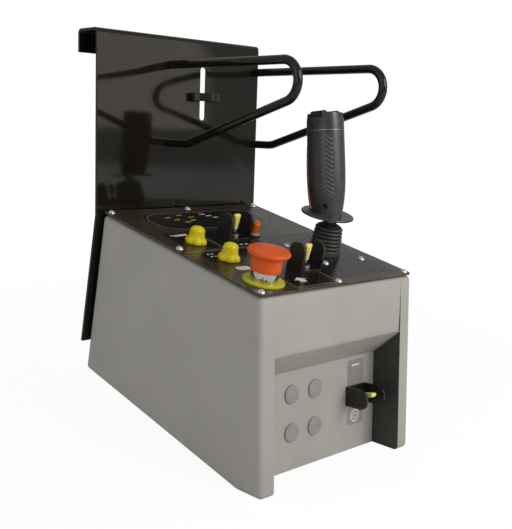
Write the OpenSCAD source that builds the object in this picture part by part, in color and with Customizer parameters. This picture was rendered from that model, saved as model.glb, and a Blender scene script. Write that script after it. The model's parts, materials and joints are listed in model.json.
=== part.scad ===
// Platform control box of a scissor lift: a moulded housing hung from a guard rail
// by a bent steel bracket, with a sloping control panel, a joystick with an enable
// trigger and a thumb rocker, an emergency stop, two booted push buttons, a lamp and
// three guarded toggle switches.
// Frame: X to the operator's right, Y towards the rail, Z up. The origin is the centre
// of the underside of the rail hook.

/* [Mounting bracket] */
// Width of the bent steel plate
plate_w = 227; // [222:1:245]
// Thickness of the plate
plate_t = 3; // [2.5:0.5:4]
// Clear depth of the hook, for the guard rail
rail_gap = 30; // [25:1:40]
// Height of the hook's rear flange, outside
hook_drop = 24; // [18:1:40]
// Height of the upper plate, from the top of the hook to the bend
upper_h = 192; // [185:1:215]
// Length of the lower plate, below the bend
lower_l = 143; // [130:1:155]
// Backward lean of the lower plate and of the housing's rear wall
bracket_lean = 10.8; // [8:0.1:12]
// Width of the slot in the upper plate
slot_w = 9; // [7:0.5:12]
// Length of the slot
slot_l = 59; // [45:1:70]
// Height of the slot's centre below the top of the hook
slot_drop = 60; // [50:1:68]
// Distance of the slot from the middle of the plate
slot_x = 28.5; // [20:0.5:40]

/* [Guard hoops] */
// Diameter of the round bar
bar_d = 9; // [7:0.5:11]
// Distance of the left hoop from the middle of the plate
left_hoop_x = -19.5; // [-30:0.5:-12]
// Distance of the right hoop from the edge of the plate
right_hoop_inset = 5; // [5:0.5:9]
// Height of the top bar below the top of the hook
hoop_top_drop = 31; // [22:1:40]
// Height of the bottom run below the top of the hook
hoop_low_drop = 115.5; // [105:0.5:125]
// Slope of the lower bar
hoop_slope = 17.1; // [15:0.1:20]
// Radius of the bend at the front
hoop_r = 20; // [16:1:24]
// Length of the level run at the plate
hoop_run = 26; // [20:1:32]

/* [Housing] */
// Width of the housing and of the panel
box_w = 216; // [210:1:220]
// Length of the panel along its slope
panel_l = 244.5; // [238:0.5:255]
// Slope of the panel, down to the operator
panel_slope = 12; // [10:0.5:14]
// Height of the panel's rear edge below the hook's underside
panel_drop = 184.6; // [180:0.2:188]
// Gap between the panel's rear edge and the upper plate
rear_gap = 5; // [4:0.5:7]
// Height of the rear wall
rear_h = 176; // [168:1:186]
// Height of the front, from the panel's rear edge to the foot
front_h = 236; // [228:1:246]
// Forward lean of the front wall
front_lean = 2.6; // [1:0.1:4]
// Wall thickness
wall = 3.5; // [3:0.25:4.5]
// Radius of the outer edges
edge_r = 5; // [3:0.5:6]
// Depth of the front recess
recess_d = 34; // [30:1:40]
// Thickness of the cheeks beside the recess
cheek_w = 17; // [14:0.5:20]
// Height of the recess's lip above the foot
lip_rise = 126.5; // [121:0.5:131]
// Height of the recess's ceiling at the back, above the foot
ceiling_rise = 98.5; // [94:0.5:104]
// Depth of the shallow dip in the front band, at the recess's lip
band_dip = 1.5; // [1:0.25:2]

/* [Panel] */
// Thickness of the panel
panel_t = 2; // [1.5:0.5:3]
// Thickness of the gasket under the panel
gasket_t = 1.5; // [1:0.25:2]
// Radius of the panel's corners
panel_r = 4; // [3:0.5:6]
// Distance of the panel screws from the edges
screw_inset = 6; // [5.5:0.5:7]
// Diameter of the panel screws' heads
screw_head_d = 8; // [7:0.5:9]
// Diameter of the panel screws' shanks
screw_d = 4; // [3:0.5:4.5]

/* [Emergency stop] */
// Diameter of the mushroom head
head_d = 40; // [36:1:42]
// Diameter of the yellow legend ring
legend_d = 39.6; // [38:0.2:44]
// Travel of the head
head_travel = 5; // [3:0.5:5.5]

/* [Push buttons] */
// Diameter of a rubber boot's body
boot_d = 14.4; // [13:0.2:16]
// Height of a boot
boot_h = 17.5; // [16:0.5:20]
// Diameter across the lobes of a boot's base
boot_base_d = 22; // [20:0.5:24]

/* [Toggle switches] */
// Width of a guard, across its two ears
guard_w = 30; // [26:1:32]
// Depth of the ears along the lever's throw
ear_d = 20; // [18:0.5:22]
// Height of the ears
ear_h = 28; // [26:0.5:30]
// Lean of the face toggle's lever, at the upper end of its throw
throw_tilt = 10; // [8:1:13]

/* [Joystick] */
// Diameter of the hand guard disc
disc_d = 55.4; // [50:0.2:60]
// Height of the disc above the panel
disc_drop = 38.5; // [37:0.5:44]
// Distance of the disc's middle behind the shaft
disc_shift = 6; // [4:0.5:7]
// Height of the grip, from the disc to the cap
grip_h = 84; // [78:1:90]
// Backward tilt of the grip from the shaft
grip_tilt = 17.5; // [12:0.5:20]
// Diameter of the bellows at the panel
bellows_d = 34; // [32:0.5:36]
// Number of ribs on the bellows
bellows_ribs = 6; // [5:1:7]
// Diameter of the steel shaft
shaft_d = 8; // [7:0.5:9]

/* [Hidden] */

// Overrun of every cut
over = 1;
// Radial clearance of a shaft that turns or slides in its bore
fit = 0.05;
// Gap between pieces that move past each other without touching
clear = 0.4;
// Steps in each rounded corner of an outline
corner_steps = 5;
$fn = 48;

// Colours
black = [0.09, 0.09, 0.09];
steel = [0.72, 0.72, 0.72];
grey = [0.50, 0.49, 0.46];
yellow = [0.90, 0.80, 0.10];
red = [0.80, 0.22, 0.10];
green = [0.10, 0.35, 0.20];

// Bracket
bend_r = 2;
plate_front = -(rail_gap / 2 + plate_t);
bend_z = plate_t - upper_h;
loop_r = 17.5;
loop_t = 2;
loop_h = 9;
loop_drop = 64;
slot_corner = 3.5;
bolt_d = 6;
bolt_head_d = 11;
bolt_head_h = 4;
bolt_x = 75;
bolt_rows = [35, 115];
bolt_boss_d = 18;
bolt_boss_h = 12;
hoop_low_r = 40;
bend_lap = 0.8;
bend_swell = 0.15;

// Housing, in a side view with Y to the right and Z up
panel_y = plate_front - rear_gap;
panel_z = -panel_drop;
stack_t = panel_t + gasket_t;
front_top = [panel_y - panel_l * cos(panel_slope), panel_z - panel_l * sin(panel_slope)];
foot_z = panel_z - front_h;
function front_y(z) = front_top[0] - (front_top[1] - z) * tan(front_lean);
function recess_y(z) = front_y(z) + recess_d;
rear_run = stack_t / cos(bracket_lean - panel_slope);
front_run = stack_t / cos(front_lean + panel_slope);
rear_dir = [sin(bracket_lean), -cos(bracket_lean)];
front_dir = [-sin(front_lean), -cos(front_lean)];
rear_top = [panel_y, panel_z];
rear_foot = [panel_y + rear_h * tan(bracket_lean), panel_z - rear_h];
kink = [recess_y(foot_z), foot_z];
bottom_slope = atan((rear_foot[1] - kink[1]) / (rear_foot[0] - kink[0]));
outline = [
  front_top + front_dir * front_run,
  [front_y(foot_z), foot_z],
  kink,
  rear_foot,
  rear_top + rear_dir * rear_run];
cavity_outline = [
  front_top - front_dir * wall,
  [front_y(foot_z), foot_z],
  kink,
  rear_foot,
  rear_top - rear_dir * wall];
lip_z = foot_z + lip_rise;
ceiling_z = foot_z + ceiling_rise;
band_dip_h = 55;
ceiling_dir = unit([front_y(lip_z) - recess_y(ceiling_z), lip_z - ceiling_z]);
recess_outline = [
  [front_y(lip_z), lip_z] + ceiling_dir * recess_d,
  [front_y(foot_z) - recess_d, foot_z - recess_d],
  [recess_y(foot_z - recess_d), foot_z - recess_d],
  [recess_y(ceiling_z), ceiling_z]];
recess_w = box_w - 2 * cheek_w;
standoff = (rear_gap - (panel_z - bend_z) * tan(bracket_lean)) * cos(bracket_lean);
boss_d = 9;
boss_l = 22;
screw_l = 16;
screw_head_h = 2.6;

// Blanking plugs, in two rows of two on the recessed face
plug_d = 18.5;
plug_hole_d = 15;
plug_t = 1.5;
plug_l = 7;
plug_pitch = [33, 38];
plug_dome = 1;
// Middle of the plugs: distance from the middle of the face and height above the foot
plug_centre = [-17.5, 56.6];

// Places on the panel: distance from its middle and from its rear edge, each set from
// the side and the front edge that the control keeps to
estop_at = [28 - box_w / 2, panel_l - 26.5];
rear_button_at = [36 - box_w / 2, panel_l - 134.5];
front_button_at = [36 - box_w / 2, panel_l - 84];
rear_toggle_at = [-17, panel_l - 139.5];
front_toggle_at = [-10, panel_l - 42.5];
lamp_at = [14, panel_l - 141];
joystick_at = [box_w / 2 - 52, panel_l - 77];
// Place of the toggle switch on the recessed face: distance from the middle and height
// above the foot
face_toggle_at = [box_w / 2 - 46.5, 58];

// Emergency stop, with heights above the panel
legend_t = 2;
bezel_d = 26;
bezel_h = 9;
barrel_d = 22;
barrel_l = 26;
plunger_d = 12;
skirt_d = 29;
skirt_foot = legend_t + bezel_h;
rim_low = 26;
rim_t = 5.5;
crown = 2.2;
locknut_d = 30;
locknut_t = 5;
contact_w = 28;
contact_l = 20;

// Push buttons, with heights above the panel
boot_base_h = 6;
boot_wall = 1.2;
boot_lobes = 6;
lobe_d = 7;
bush_d = 11;
bush_top = 4;
button_pin_d = 6;
button_body = 16;
button_body_l = 20;
button_travel = 2.5;

// Lamp, with heights above the panel
seal_d = 13;
seal_t = 1;
lamp_bezel_d = 11.4;
lamp_bezel_t = 2.5;
lens_d = 10.4;
lens_h = 7.8;
lamp_barrel_d = 8;
lamp_barrel_l = 18;
lamp_nut_d = 13;
lamp_nut_t = 4;

// Toggle switches, with heights above the surface that carries them
guard_t = 2;
ear_t = 2.5;
ear_r = 9;
toggle_bush_d = 6.4;
toggle_bush_top = 7;
toggle_nut_d = 10;
toggle_nut_t = 2.4;
toggle_pivot = 4;
toggle_ball_d = 4.4;
toggle_pin_d = 1.6;
toggle_pin_l = 6;
lever_d = 2.6;
lever_l = 19;
cap_foot = 6;
cap_l = 16;
cap_w = 9;
cap_t = 5;
cap_foot_d = 4.4;
toggle_body = [13, 20, 18];

// Joystick, with heights above the panel
flange_w = 64;
flange_t = 3;
base_w = 46;
base_h = 40;
base_wall = 4;
pivot_depth = 18;
pivot_d = 6;
hub_d = 14;
hub_w = 20;
tail_l = 16;
stick_hole_d = 30;
stick_screw_pitch = 56;
bellows_h = 34;
bellows_top_d = 28.6;
bellows_neck_h = 5;
bellows_foot_h = 6;
bellows_wall = 1.2;
rib_depth = 1.3;
rib_points = 8;
shaft_nut_d = 12;
shaft_nut_t = 4.5;
disc_t = 3;
socket_l = 16;
grip_half_w = 17.2;
grip_half_d = 19.8;
section_points = 48;
section_power = 2.3;
grip_rows = 16;
// Height of the grip's widest place and widths of its two ends, as shares of the whole
grip_waist = 0.6;
grip_foot_w = 0.78;
grip_top_w = 0.985;
grip_swell = 2.9;
grip_foot_share = 0.1;
cap_gap = 0.8;
spigot_l = 4;
grip_cap_h = 17;
cap_taper_share = 0.95;
pocket_w = 18;
pocket_depth = 8;
// Depth of the pocket beyond the rocker's ends, and its gap there
pocket_step = 4.5;
pocket_gap = 1.4;
rocker_pin_d = 3;
rocker_hub_d = 5.6;
rocker_half_l = 13;
rocker_rise = 0.3;
rocker_lobe = 7.6;
rocker_dip = 4.4;
rocker_round = 1;
trigger_w = 15;
trigger_low = 7;
trigger_high = 71;
trigger_t = 7;
trigger_proud = 1.6;
trigger_pin_d = 3;
trigger_slack = 5;
grip_hollow = [16, 15, 50];
grip_screw_d = 3;
grip_screw_l = 20;
grip_screw_head_d = 5.5;
grip_screw_head_h = 2.4;
grip_screw_sink = 8;
grip_screw_z = 9;

// Circuit board on the rear wall, and the cable gland in the bottom
board = [116, 1.6, 96];
board_centre = 92;
board_post_d = 8;
board_post_h = 8;
board_inset = 6;
board_screw_d = 3;
board_screw_head_d = 6;
board_screw_head_h = 2;
terminal = [38, 12, 10];
relay = [18, 16, 20];
gland_share = 0.3;
gland_d = 20;
gland_flange_d = 28;
gland_flange_t = 4;
gland_thread_l = 9;
gland_nut_l = 20;
gland_bore_d = 11;
gland_lock_d = 27;
gland_lock_t = 5;
gland_cap_d = 24;

// A vector scaled to length one
function unit(v) = v / norm(v);

// The arc that rounds the corner b between a and c with radius r
function round_corner(a, b, c, r) =
  let (u = unit(a - b), w = unit(c - b), half = acos(u * w) / 2,
       centre = b + unit(u + w) * r / sin(half),
       start = b + u * r / tan(half) - centre, end = b + w * r / tan(half) - centre,
       from = atan2(start[1], start[0]), to = atan2(end[1], end[0]),
       turn = to - from > 180 ? to - from - 360 : to - from < -180 ? to - from + 360 : to - from)
  [for (i = [0:corner_steps]) centre + r * [cos(from + turn * i / corner_steps),
                                            sin(from + turn * i / corner_steps)]];

// An outline with its corners rounded, with one radius for each corner
function rounded(points, radii) =
  let (n = len(points))
  [for (i = [0:n - 1]) each radii[i] > 0 ?
    round_corner(points[(i + n - 1) % n], points[i], points[(i + 1) % n], radii[i]) : [points[i]]];

// A rectangle about the origin with rounded corners
function round_rect(w, h, r) =
  rounded([[w, h], [-w, h], [-w, -h], [w, -h]] / 2, [r, r, r, r]);

// Where the line through p along d meets the line through q along e
function meet(p, d, q, e) =
  p + d * ((q[0] - p[0]) * e[1] - (q[1] - p[1]) * e[0]) / (d[0] * e[1] - d[1] * e[0]);

// A counter-clockwise outline moved inwards by w, or outwards where w is negative
function inset(points, w) =
  let (n = len(points))
  [for (i = [0:n - 1])
    let (a = points[(i + n - 1) % n], b = points[i], c = points[(i + 1) % n],
         d = unit(b - a), e = unit(c - b))
    meet(b + w * [-d[1], d[0]], d, b + w * [-e[1], e[0]], e)];

// A side view outline of Y and Z, carried along X
module slab(width, points) {
  rotate([90, 0, 90]) linear_extrude(height = width, center = true) polygon(points);
}

// A ring about Z from radius inner to radius outer
module ring(outer, inner, height) {
  difference() {
    cylinder(r = outer, h = height);
    translate([0, 0, -over]) cylinder(r = inner, h = height + 2 * over);
  }
}

// A dome headed screw, its head standing on the surface and its shank below
module dome_screw(head, head_h, shank, length) {
  dome = (head * head / 4 + head_h * head_h) / (2 * head_h);
  intersection() {
    translate([0, 0, head_h - dome]) sphere(r = dome);
    cylinder(d = head, h = head_h);
  }
  translate([0, 0, -length]) cylinder(d = shank, h = length);
}

// Places on the panel, on the recessed face, on the lower plate and on the bottom
module on_panel(at) {
  translate([0, panel_y, panel_z]) rotate([panel_slope, 0, 0]) translate([at[0], -at[1], 0])
    children();
}
module on_face(at) {
  z = foot_z + at[1];
  translate([at[0], recess_y(z), z]) rotate([90 - front_lean, 0, 0]) children();
}
module on_lower_plate(x, down) {
  translate([x, plate_front, bend_z]) rotate([bracket_lean, 0, 0]) translate([0, 0, -down])
    rotate([-90, 0, 0]) children();
}
module on_bottom() {
  at = kink + (rear_foot - kink) * (1 - gland_share);
  translate([0, at[0], at[1]]) rotate([180 + bottom_slope, 0, 0]) children();
}
module at_bolts() {
  for (x = [-bolt_x, bolt_x], down = bolt_rows) on_lower_plate(x, down) children();
}
module at_panel_screws() {
  for (x = [-1, 0, 1], v = [0, 1, 2])
    if (x != 0 || v != 1)
      on_panel([x * (box_w / 2 - screw_inset), screw_inset + v * (panel_l / 2 - screw_inset)])
        children();
}
module at_plugs() {
  for (i = [-1, 1], j = [-1, 1])
    on_face([plug_centre[0] + i * plug_pitch[0] / 2, plug_centre[1] + j * plug_pitch[1] / 2])
      children();
}
module at_stick_screws() {
  for (i = [-1, 1], j = [-1, 1])
    on_panel(joystick_at + [i, j] * stick_screw_pitch / 2) children();
}

// Mounting bracket: hook, upper plate and leaning lower plate, bent from one sheet
module mounting_bracket() {
  across = plate_t * [cos(bracket_lean), sin(bracket_lean)];
  low = [plate_front, bend_z] + lower_l * rear_dir;
  turn_r = bend_r + plate_t;
  side = [
    [rail_gap / 2 + plate_t, plate_t - hook_drop],
    [rail_gap / 2 + plate_t, plate_t],
    [plate_front, plate_t],
    [plate_front, bend_z],
    low,
    low + across,
    [-rail_gap / 2, bend_z + plate_t * tan(bracket_lean / 2)],
    [-rail_gap / 2, 0],
    [rail_gap / 2, 0],
    [rail_gap / 2, plate_t - hook_drop]];
  color(black) difference() {
    slab(plate_w, rounded(side, [0, turn_r, turn_r, 0, 0, 0, 0, bend_r, bend_r, 0]));
    translate([slot_x, plate_front, plate_t - slot_drop]) rotate([90, 0, 0])
      linear_extrude(height = 3 * plate_t, center = true)
        polygon(round_rect(slot_w, slot_l, slot_corner));
    at_bolts() translate([0, 0, -over]) cylinder(r = bolt_d / 2 + fit, h = plate_t + 2 * over);
  }
}

// One guard hoop in a plane square to the plate: level top bar, bend at the front,
// sloping lower bar and a level run back to the plate
module hoop(x) {
  top = plate_t - hoop_top_drop;
  low = plate_t - hoop_low_drop;
  run_end = plate_front - hoop_run;
  low_start = [run_end - hoop_low_r * sin(hoop_slope), low + hoop_low_r * (1 - cos(hoop_slope))];
  slant = (top - hoop_r * (1 + cos(hoop_slope)) - low_start[1]) / sin(hoop_slope);
  slant_top = low_start + slant * [-cos(hoop_slope), sin(hoop_slope)];
  front = slant_top + hoop_r * [sin(hoop_slope), cos(hoop_slope)];
  translate([x, 0, 0]) rotate([90, 0, 90]) {
    bar([front[0], top], [plate_front, top], 0);
    bend(front, hoop_r, 90, 180 - hoop_slope);
    bar(slant_top, low_start, bend_lap);
    bend([run_end, low + hoop_low_r], hoop_low_r, 270 - hoop_slope, hoop_slope);
    bar([run_end, low], [plate_front, low], 0);
  }
}

// Straight run of round bar between two points of a side view. It laps into the bend
// before it, and by past into the bend after it.
module bar(p, q, past) {
  translate([p[0], p[1], 0]) rotate([0, 0, atan2(q[1] - p[1], q[0] - p[0])]) rotate([0, 90, 0])
    translate([0, 0, -bend_lap]) cylinder(d = bar_d, h = norm(q - p) + bend_lap + past);
}

// Bend of round bar about a centre, swollen a hair as a bent bar is
module bend(centre, r, from, turn) {
  translate([centre[0], centre[1], 0]) rotate([0, 0, from]) rotate_extrude(angle = turn)
    translate([r, 0]) circle(d = bar_d + bend_swell);
}

module left_hoop_guard() { color(black) hoop(left_hoop_x); }
module right_hoop_guard() { color(black) hoop(plate_w / 2 - right_hoop_inset); }

// Half round flat band across the slot, for a strap
module strap_loop() {
  color(black) translate([slot_x, plate_front, plate_t - loop_drop - loop_h / 2])
    rotate([0, 0, 180]) rotate_extrude(angle = 180)
      translate([loop_r, 0]) square([loop_t, loop_h]);
}

// Four hexagon bolts, their heads behind the lower plate
module bracket_bolts() {
  color(steel) at_bolts() {
    translate([0, 0, plate_t]) cylinder(d = bolt_head_d, h = bolt_head_h, $fn = 6);
    translate([0, 0, -standoff - wall - bolt_boss_h / 2])
      cylinder(d = bolt_d, h = plate_t + standoff + wall + bolt_boss_h / 2);
  }
}

// Moulded housing: one rounded shell, open at the top, with the front recess
module housing() {
  color(grey) difference() {
    union() {
      difference() {
        housing_form();
        difference() {
          slab(box_w - 2 * wall, inset(cavity_outline, wall));
          slab(recess_w + 2 * wall, inset(recess_outline, -wall));
        }
        slab(recess_w, recess_outline);
        slab(recess_w, [[front_y(lip_z) + band_dip, lip_z], [front_y(lip_z) - over, lip_z],
          [front_y(lip_z + band_dip_h) - over, lip_z + band_dip_h],
          [front_y(lip_z + band_dip_h), lip_z + band_dip_h]]);
      }
      intersection() {
        housing_form();
        at_panel_screws() translate([0, 0, -stack_t - boss_l]) cylinder(d = boss_d, h = boss_l);
      }
      at_bolts() translate([0, 0, -standoff - wall - bolt_boss_h])
        cylinder(d = bolt_boss_d, h = standoff + wall + bolt_boss_h);
      at_board_posts() translate([0, 0, -standoff - wall - board_post_h])
        cylinder(d = board_post_d, h = board_post_h + wall / 2);
    }
    at_panel_screws() translate([0, 0, -stack_t - screw_l])
      cylinder(r = screw_d / 2 + fit, h = screw_l + over);
    at_bolts() translate([0, 0, -standoff - wall - bolt_boss_h / 2 - over])
      cylinder(r = bolt_d / 2 + fit, h = standoff + wall + bolt_boss_h / 2 + 2 * over);
    at_board_posts() translate([0, 0, -standoff - wall - board_post_h - over])
      cylinder(r = board_screw_d / 2 + fit, h = board_post_h + over);
    at_plugs() translate([0, 0, -wall - over]) cylinder(d = plug_hole_d, h = wall + 2 * over);
    on_face(face_toggle_at) translate([0, 0, -wall - over])
      cylinder(r = toggle_bush_d / 2 + fit, h = wall + 2 * over);
    on_bottom() translate([0, 0, -wall - over])
      cylinder(r = gland_d / 2 + fit, h = wall + 2 * over);
  }
}

// Outer form of the housing, with every edge rounded
module housing_form() {
  hull() {
    for (x = [-1, 1] * (box_w / 2 - edge_r), p = inset(outline, edge_r))
      translate([x, p[0], p[1]]) sphere(r = edge_r, $fn = 24);
  }
}

module at_board_posts() {
  for (x = [-1, 1] * (board[0] / 2 - board_inset), down = [-1, 1] * (board[2] / 2 - board_inset))
    on_lower_plate(x, board_centre + down) children();
}

// Snap-in plugs in the unused holes of the recessed face
module blanking_plugs() {
  dome_r = (plug_d * plug_d / 4 + plug_dome * plug_dome) / (2 * plug_dome);
  color(grey) at_plugs() {
    intersection() {
      cylinder(d = plug_d, h = plug_t + plug_dome);
      translate([0, 0, plug_t + plug_dome - dome_r]) sphere(r = dome_r);
    }
    translate([0, 0, -plug_l])
      ring(plug_hole_d / 2 - clear / 2, plug_hole_d / 2 - wall / 2, plug_l);
  }
}

module panel_gasket() {
  lip = edge_r + over / 2;
  inner = screw_inset + boss_d / 2;
  color(black) on_panel([0, panel_l / 2]) translate([0, 0, -stack_t]) difference() {
    linear_extrude(height = gasket_t) difference() {
      polygon(round_rect(box_w - lip, panel_l - lip, panel_r));
      polygon(round_rect(box_w - 2 * inner, panel_l - 2 * inner, panel_r));
    }
    for (x = [-1, 0, 1], v = [-1, 0, 1])
      translate([x * (box_w / 2 - screw_inset), v * (panel_l / 2 - screw_inset), -over])
        cylinder(r = screw_d / 2 + clear, h = gasket_t + 2 * over);
  }
}

// Control panel: sheet metal with a hole for every control
module control_panel() {
  color(black) difference() {
    on_panel([0, panel_l / 2]) translate([0, 0, -panel_t])
      linear_extrude(height = panel_t) polygon(round_rect(box_w, panel_l, panel_r));
    at_panel_screws() panel_hole(screw_d / 2 + fit);
    at_stick_screws() panel_hole(screw_d / 2 + fit);
    on_panel(estop_at) panel_hole(barrel_d / 2 + fit);
    for (at = [rear_button_at, front_button_at]) on_panel(at) panel_hole(bush_d / 2 + fit);
    for (at = [rear_toggle_at, front_toggle_at])
      on_panel(at) panel_hole(toggle_bush_d / 2 + fit);
    on_panel(lamp_at) panel_hole(lamp_barrel_d / 2 + fit);
    on_panel(joystick_at) panel_hole(stick_hole_d / 2);
  }
}

module panel_hole(r) {
  translate([0, 0, -panel_t - over]) cylinder(r = r, h = panel_t + 2 * over);
}

module panel_screws() {
  color(steel) at_panel_screws()
    dome_screw(screw_head_d, screw_head_h, screw_d, stack_t + screw_l - over);
}

// Emergency stop: legend ring, fixed bezel and barrel, locknut, contacts and the two
// moving pieces, the plunger that slides and the head that turns on it
module estop_legend_ring() {
  color(yellow) on_panel(estop_at) ring(legend_d / 2, barrel_d / 2 + fit, legend_t);
}

module estop_bezel() {
  color(steel) on_panel(estop_at) difference() {
    union() {
      translate([0, 0, legend_t]) cylinder(d = bezel_d, h = bezel_h);
      translate([0, 0, -barrel_l]) cylinder(d = barrel_d, h = barrel_l + legend_t);
    }
    translate([0, 0, -barrel_l - over])
      cylinder(r = plunger_d / 2 + fit, h = barrel_l + skirt_foot + 2 * over);
  }
}

module estop_locknut() {
  color(black) on_panel(estop_at) translate([0, 0, -panel_t - locknut_t])
    ring(locknut_d / 2, barrel_d / 2 + fit, locknut_t);
}

module estop_contacts() {
  color(black) on_panel(estop_at) translate([0, 0, -barrel_l - contact_l / 2])
    cube([contact_w, contact_w, contact_l], center = true);
}

module estop_plunger() {
  color(steel) on_panel(estop_at) translate([0, 0, head_travel + clear - barrel_l])
    cylinder(d = plunger_d, h = barrel_l - head_travel - clear + rim_low);
}

module estop_head() {
  rim = head_d / 2;
  half = rim_t / 2;
  edge = [for (i = [0:corner_steps * 2])
    let (a = -90 + 180 * i / (corner_steps * 2))
    [rim - half + half * cos(a), rim_low + half + half * sin(a)]];
  dome = [for (i = [1:corner_steps])
    let (s = 1 - i / corner_steps) [(rim - half) * s, rim_low + rim_t + crown * (1 - s * s)]];
  color(red) on_panel(estop_at) difference() {
    rotate_extrude() polygon(concat([[0, skirt_foot], [skirt_d / 2 - over / 2, skirt_foot],
      [skirt_d / 2, rim_low - half]], edge, dome));
    translate([0, 0, skirt_foot - over])
      cylinder(r = bezel_d / 2 + clear, h = head_travel + clear + over);
    translate([0, 0, skirt_foot]) cylinder(r = plunger_d / 2 + fit, h = rim_low + fit - skirt_foot);
  }
}

// Push buttons: a rubber boot over a spring plunger in a threaded switch
module button_boot() {
  shoulder = boot_h - boot_d / 4;
  difference() {
    union() {
      cylinder(d = boot_base_d - lobe_d / 2, h = boot_base_h);
      for (i = [0:boot_lobes - 1]) rotate([0, 0, i * 360 / boot_lobes])
        translate([(boot_base_d - lobe_d) / 2, 0, 0]) cylinder(d = lobe_d, h = boot_base_h - over);
      rotate_extrude() polygon(rounded([[0, 0], [boot_d / 2 + over, 0],
        [boot_d / 2, boot_base_h + over], [boot_d / 2 - over / 2, boot_h], [0, boot_h]],
        [0, 0, 0, boot_h - shoulder, 0]));
    }
    translate([0, 0, -over]) cylinder(r = bush_d / 2 + clear, h = bush_top + clear + over);
    cylinder(d = boot_d - 4 * boot_wall, h = boot_h - boot_wall);
  }
}

module button_plunger() {
  translate([0, 0, -button_body_l / 2])
    cylinder(d = button_pin_d, h = button_body_l / 2 + boot_h - boot_wall - clear);
}

module button_switch() {
  difference() {
    union() {
      translate([0, 0, -panel_t - button_body_l / 2])
        cube([button_body, button_body, button_body_l], center = true);
      translate([0, 0, -panel_t - over]) cylinder(d = bush_d, h = panel_t + over + bush_top);
    }
    translate([0, 0, -button_body_l / 2 - button_travel - clear])
      cylinder(r = button_pin_d / 2 + fit, h = button_body_l);
  }
}

module rear_button_boot() { color(yellow) on_panel(rear_button_at) button_boot(); }
module rear_button_plunger() { color(black) on_panel(rear_button_at) button_plunger(); }
module rear_button_switch() { color(steel) on_panel(rear_button_at) button_switch(); }
module front_button_boot() { color(yellow) on_panel(front_button_at) button_boot(); }
module front_button_plunger() { color(black) on_panel(front_button_at) button_plunger(); }
module front_button_switch() { color(steel) on_panel(front_button_at) button_switch(); }

// Indicator lamp
module lamp_seal() {
  color(black) on_panel(lamp_at) ring(seal_d / 2, lamp_barrel_d / 2 + fit, seal_t);
}

module lamp_bezel() {
  color([0.85, 0.65, 0.58]) on_panel(lamp_at) translate([0, 0, seal_t])
    ring(lamp_bezel_d / 2, lamp_barrel_d / 2 + fit, lamp_bezel_t);
}

module lamp_lens() {
  color([0.85, 0.40, 0.05]) on_panel(lamp_at) translate([0, 0, seal_t + lamp_bezel_t]) {
    cylinder(d = lens_d, h = lens_h);
    intersection() {
      translate([0, 0, lens_h]) sphere(d = lens_d);
      translate([0, 0, lens_h]) cylinder(d = lens_d + over, h = lens_d);
    }
  }
}

module lamp_holder() {
  color(steel) on_panel(lamp_at) {
    translate([0, 0, -lamp_barrel_l])
      cylinder(d = lamp_barrel_d, h = lamp_barrel_l + seal_t + lamp_bezel_t);
    translate([0, 0, -panel_t - lamp_nut_t]) cylinder(d = lamp_nut_d, h = lamp_nut_t, $fn = 6);
  }
}

// Toggle switches: a guard with two ears, clamped by the nut, and a lever with a cap
module toggle_guard() {
  ear = [[-ear_d / 2, 0], [ear_d / 2, 0], [ear_d / 2, ear_h], [-ear_d / 2, ear_h]];
  difference() {
    union() {
      translate([-guard_w / 2, -ear_d / 2, 0]) cube([guard_w, ear_d, guard_t]);
      for (side = [-1, 1]) translate([side * (guard_w - ear_t) / 2, 0, 0])
        slab(ear_t, rounded(ear, [0, 0, ear_r, ear_r]));
    }
    translate([0, 0, -over]) cylinder(r = toggle_bush_d / 2 + fit, h = guard_t + 2 * over);
  }
}

module toggle_nut() {
  translate([0, 0, guard_t]) difference() {
    cylinder(d = toggle_nut_d, h = toggle_nut_t, $fn = 6);
    translate([0, 0, -over]) cylinder(r = toggle_bush_d / 2 + fit, h = toggle_nut_t + 2 * over);
  }
}

module toggle_switch(behind) {
  difference() {
    union() {
      translate([-toggle_body[0] / 2, -toggle_body[1] / 2, -behind - toggle_body[2]])
        cube(toggle_body);
      translate([0, 0, -behind - over]) cylinder(d = toggle_bush_d, h = behind + over + toggle_bush_top);
    }
    translate([0, 0, toggle_pivot - toggle_ball_d])
      cylinder(r = toggle_ball_d / 2 + clear / 2, h = toggle_ball_d + toggle_bush_top);
    translate([0, 0, toggle_pivot]) rotate([0, 90, 0])
      cylinder(r = toggle_pin_d / 2 + fit, h = toggle_bush_d + over, center = true);
  }
}

module toggle_lever(lean) {
  translate([0, 0, toggle_pivot]) rotate([-lean, 0, 0]) {
    sphere(d = toggle_ball_d);
    cylinder(d = lever_d, h = lever_l);
    rotate([0, 90, 0]) cylinder(d = toggle_pin_d, h = toggle_pin_l, center = true);
  }
}

module toggle_cap(lean) {
  translate([0, 0, toggle_pivot]) rotate([-lean, 0, 0]) difference() {
    hull() {
      translate([0, 0, cap_foot]) cylinder(d = cap_foot_d, h = over, $fn = 32);
      for (x = [-1, 1] * (cap_w - cap_t) / 2) translate([x, 0, cap_foot + cap_l - cap_t / 2])
        sphere(d = cap_t, $fn = 24);
    }
    cylinder(r = lever_d / 2 + fit, h = lever_l + fit);
  }
}

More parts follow.
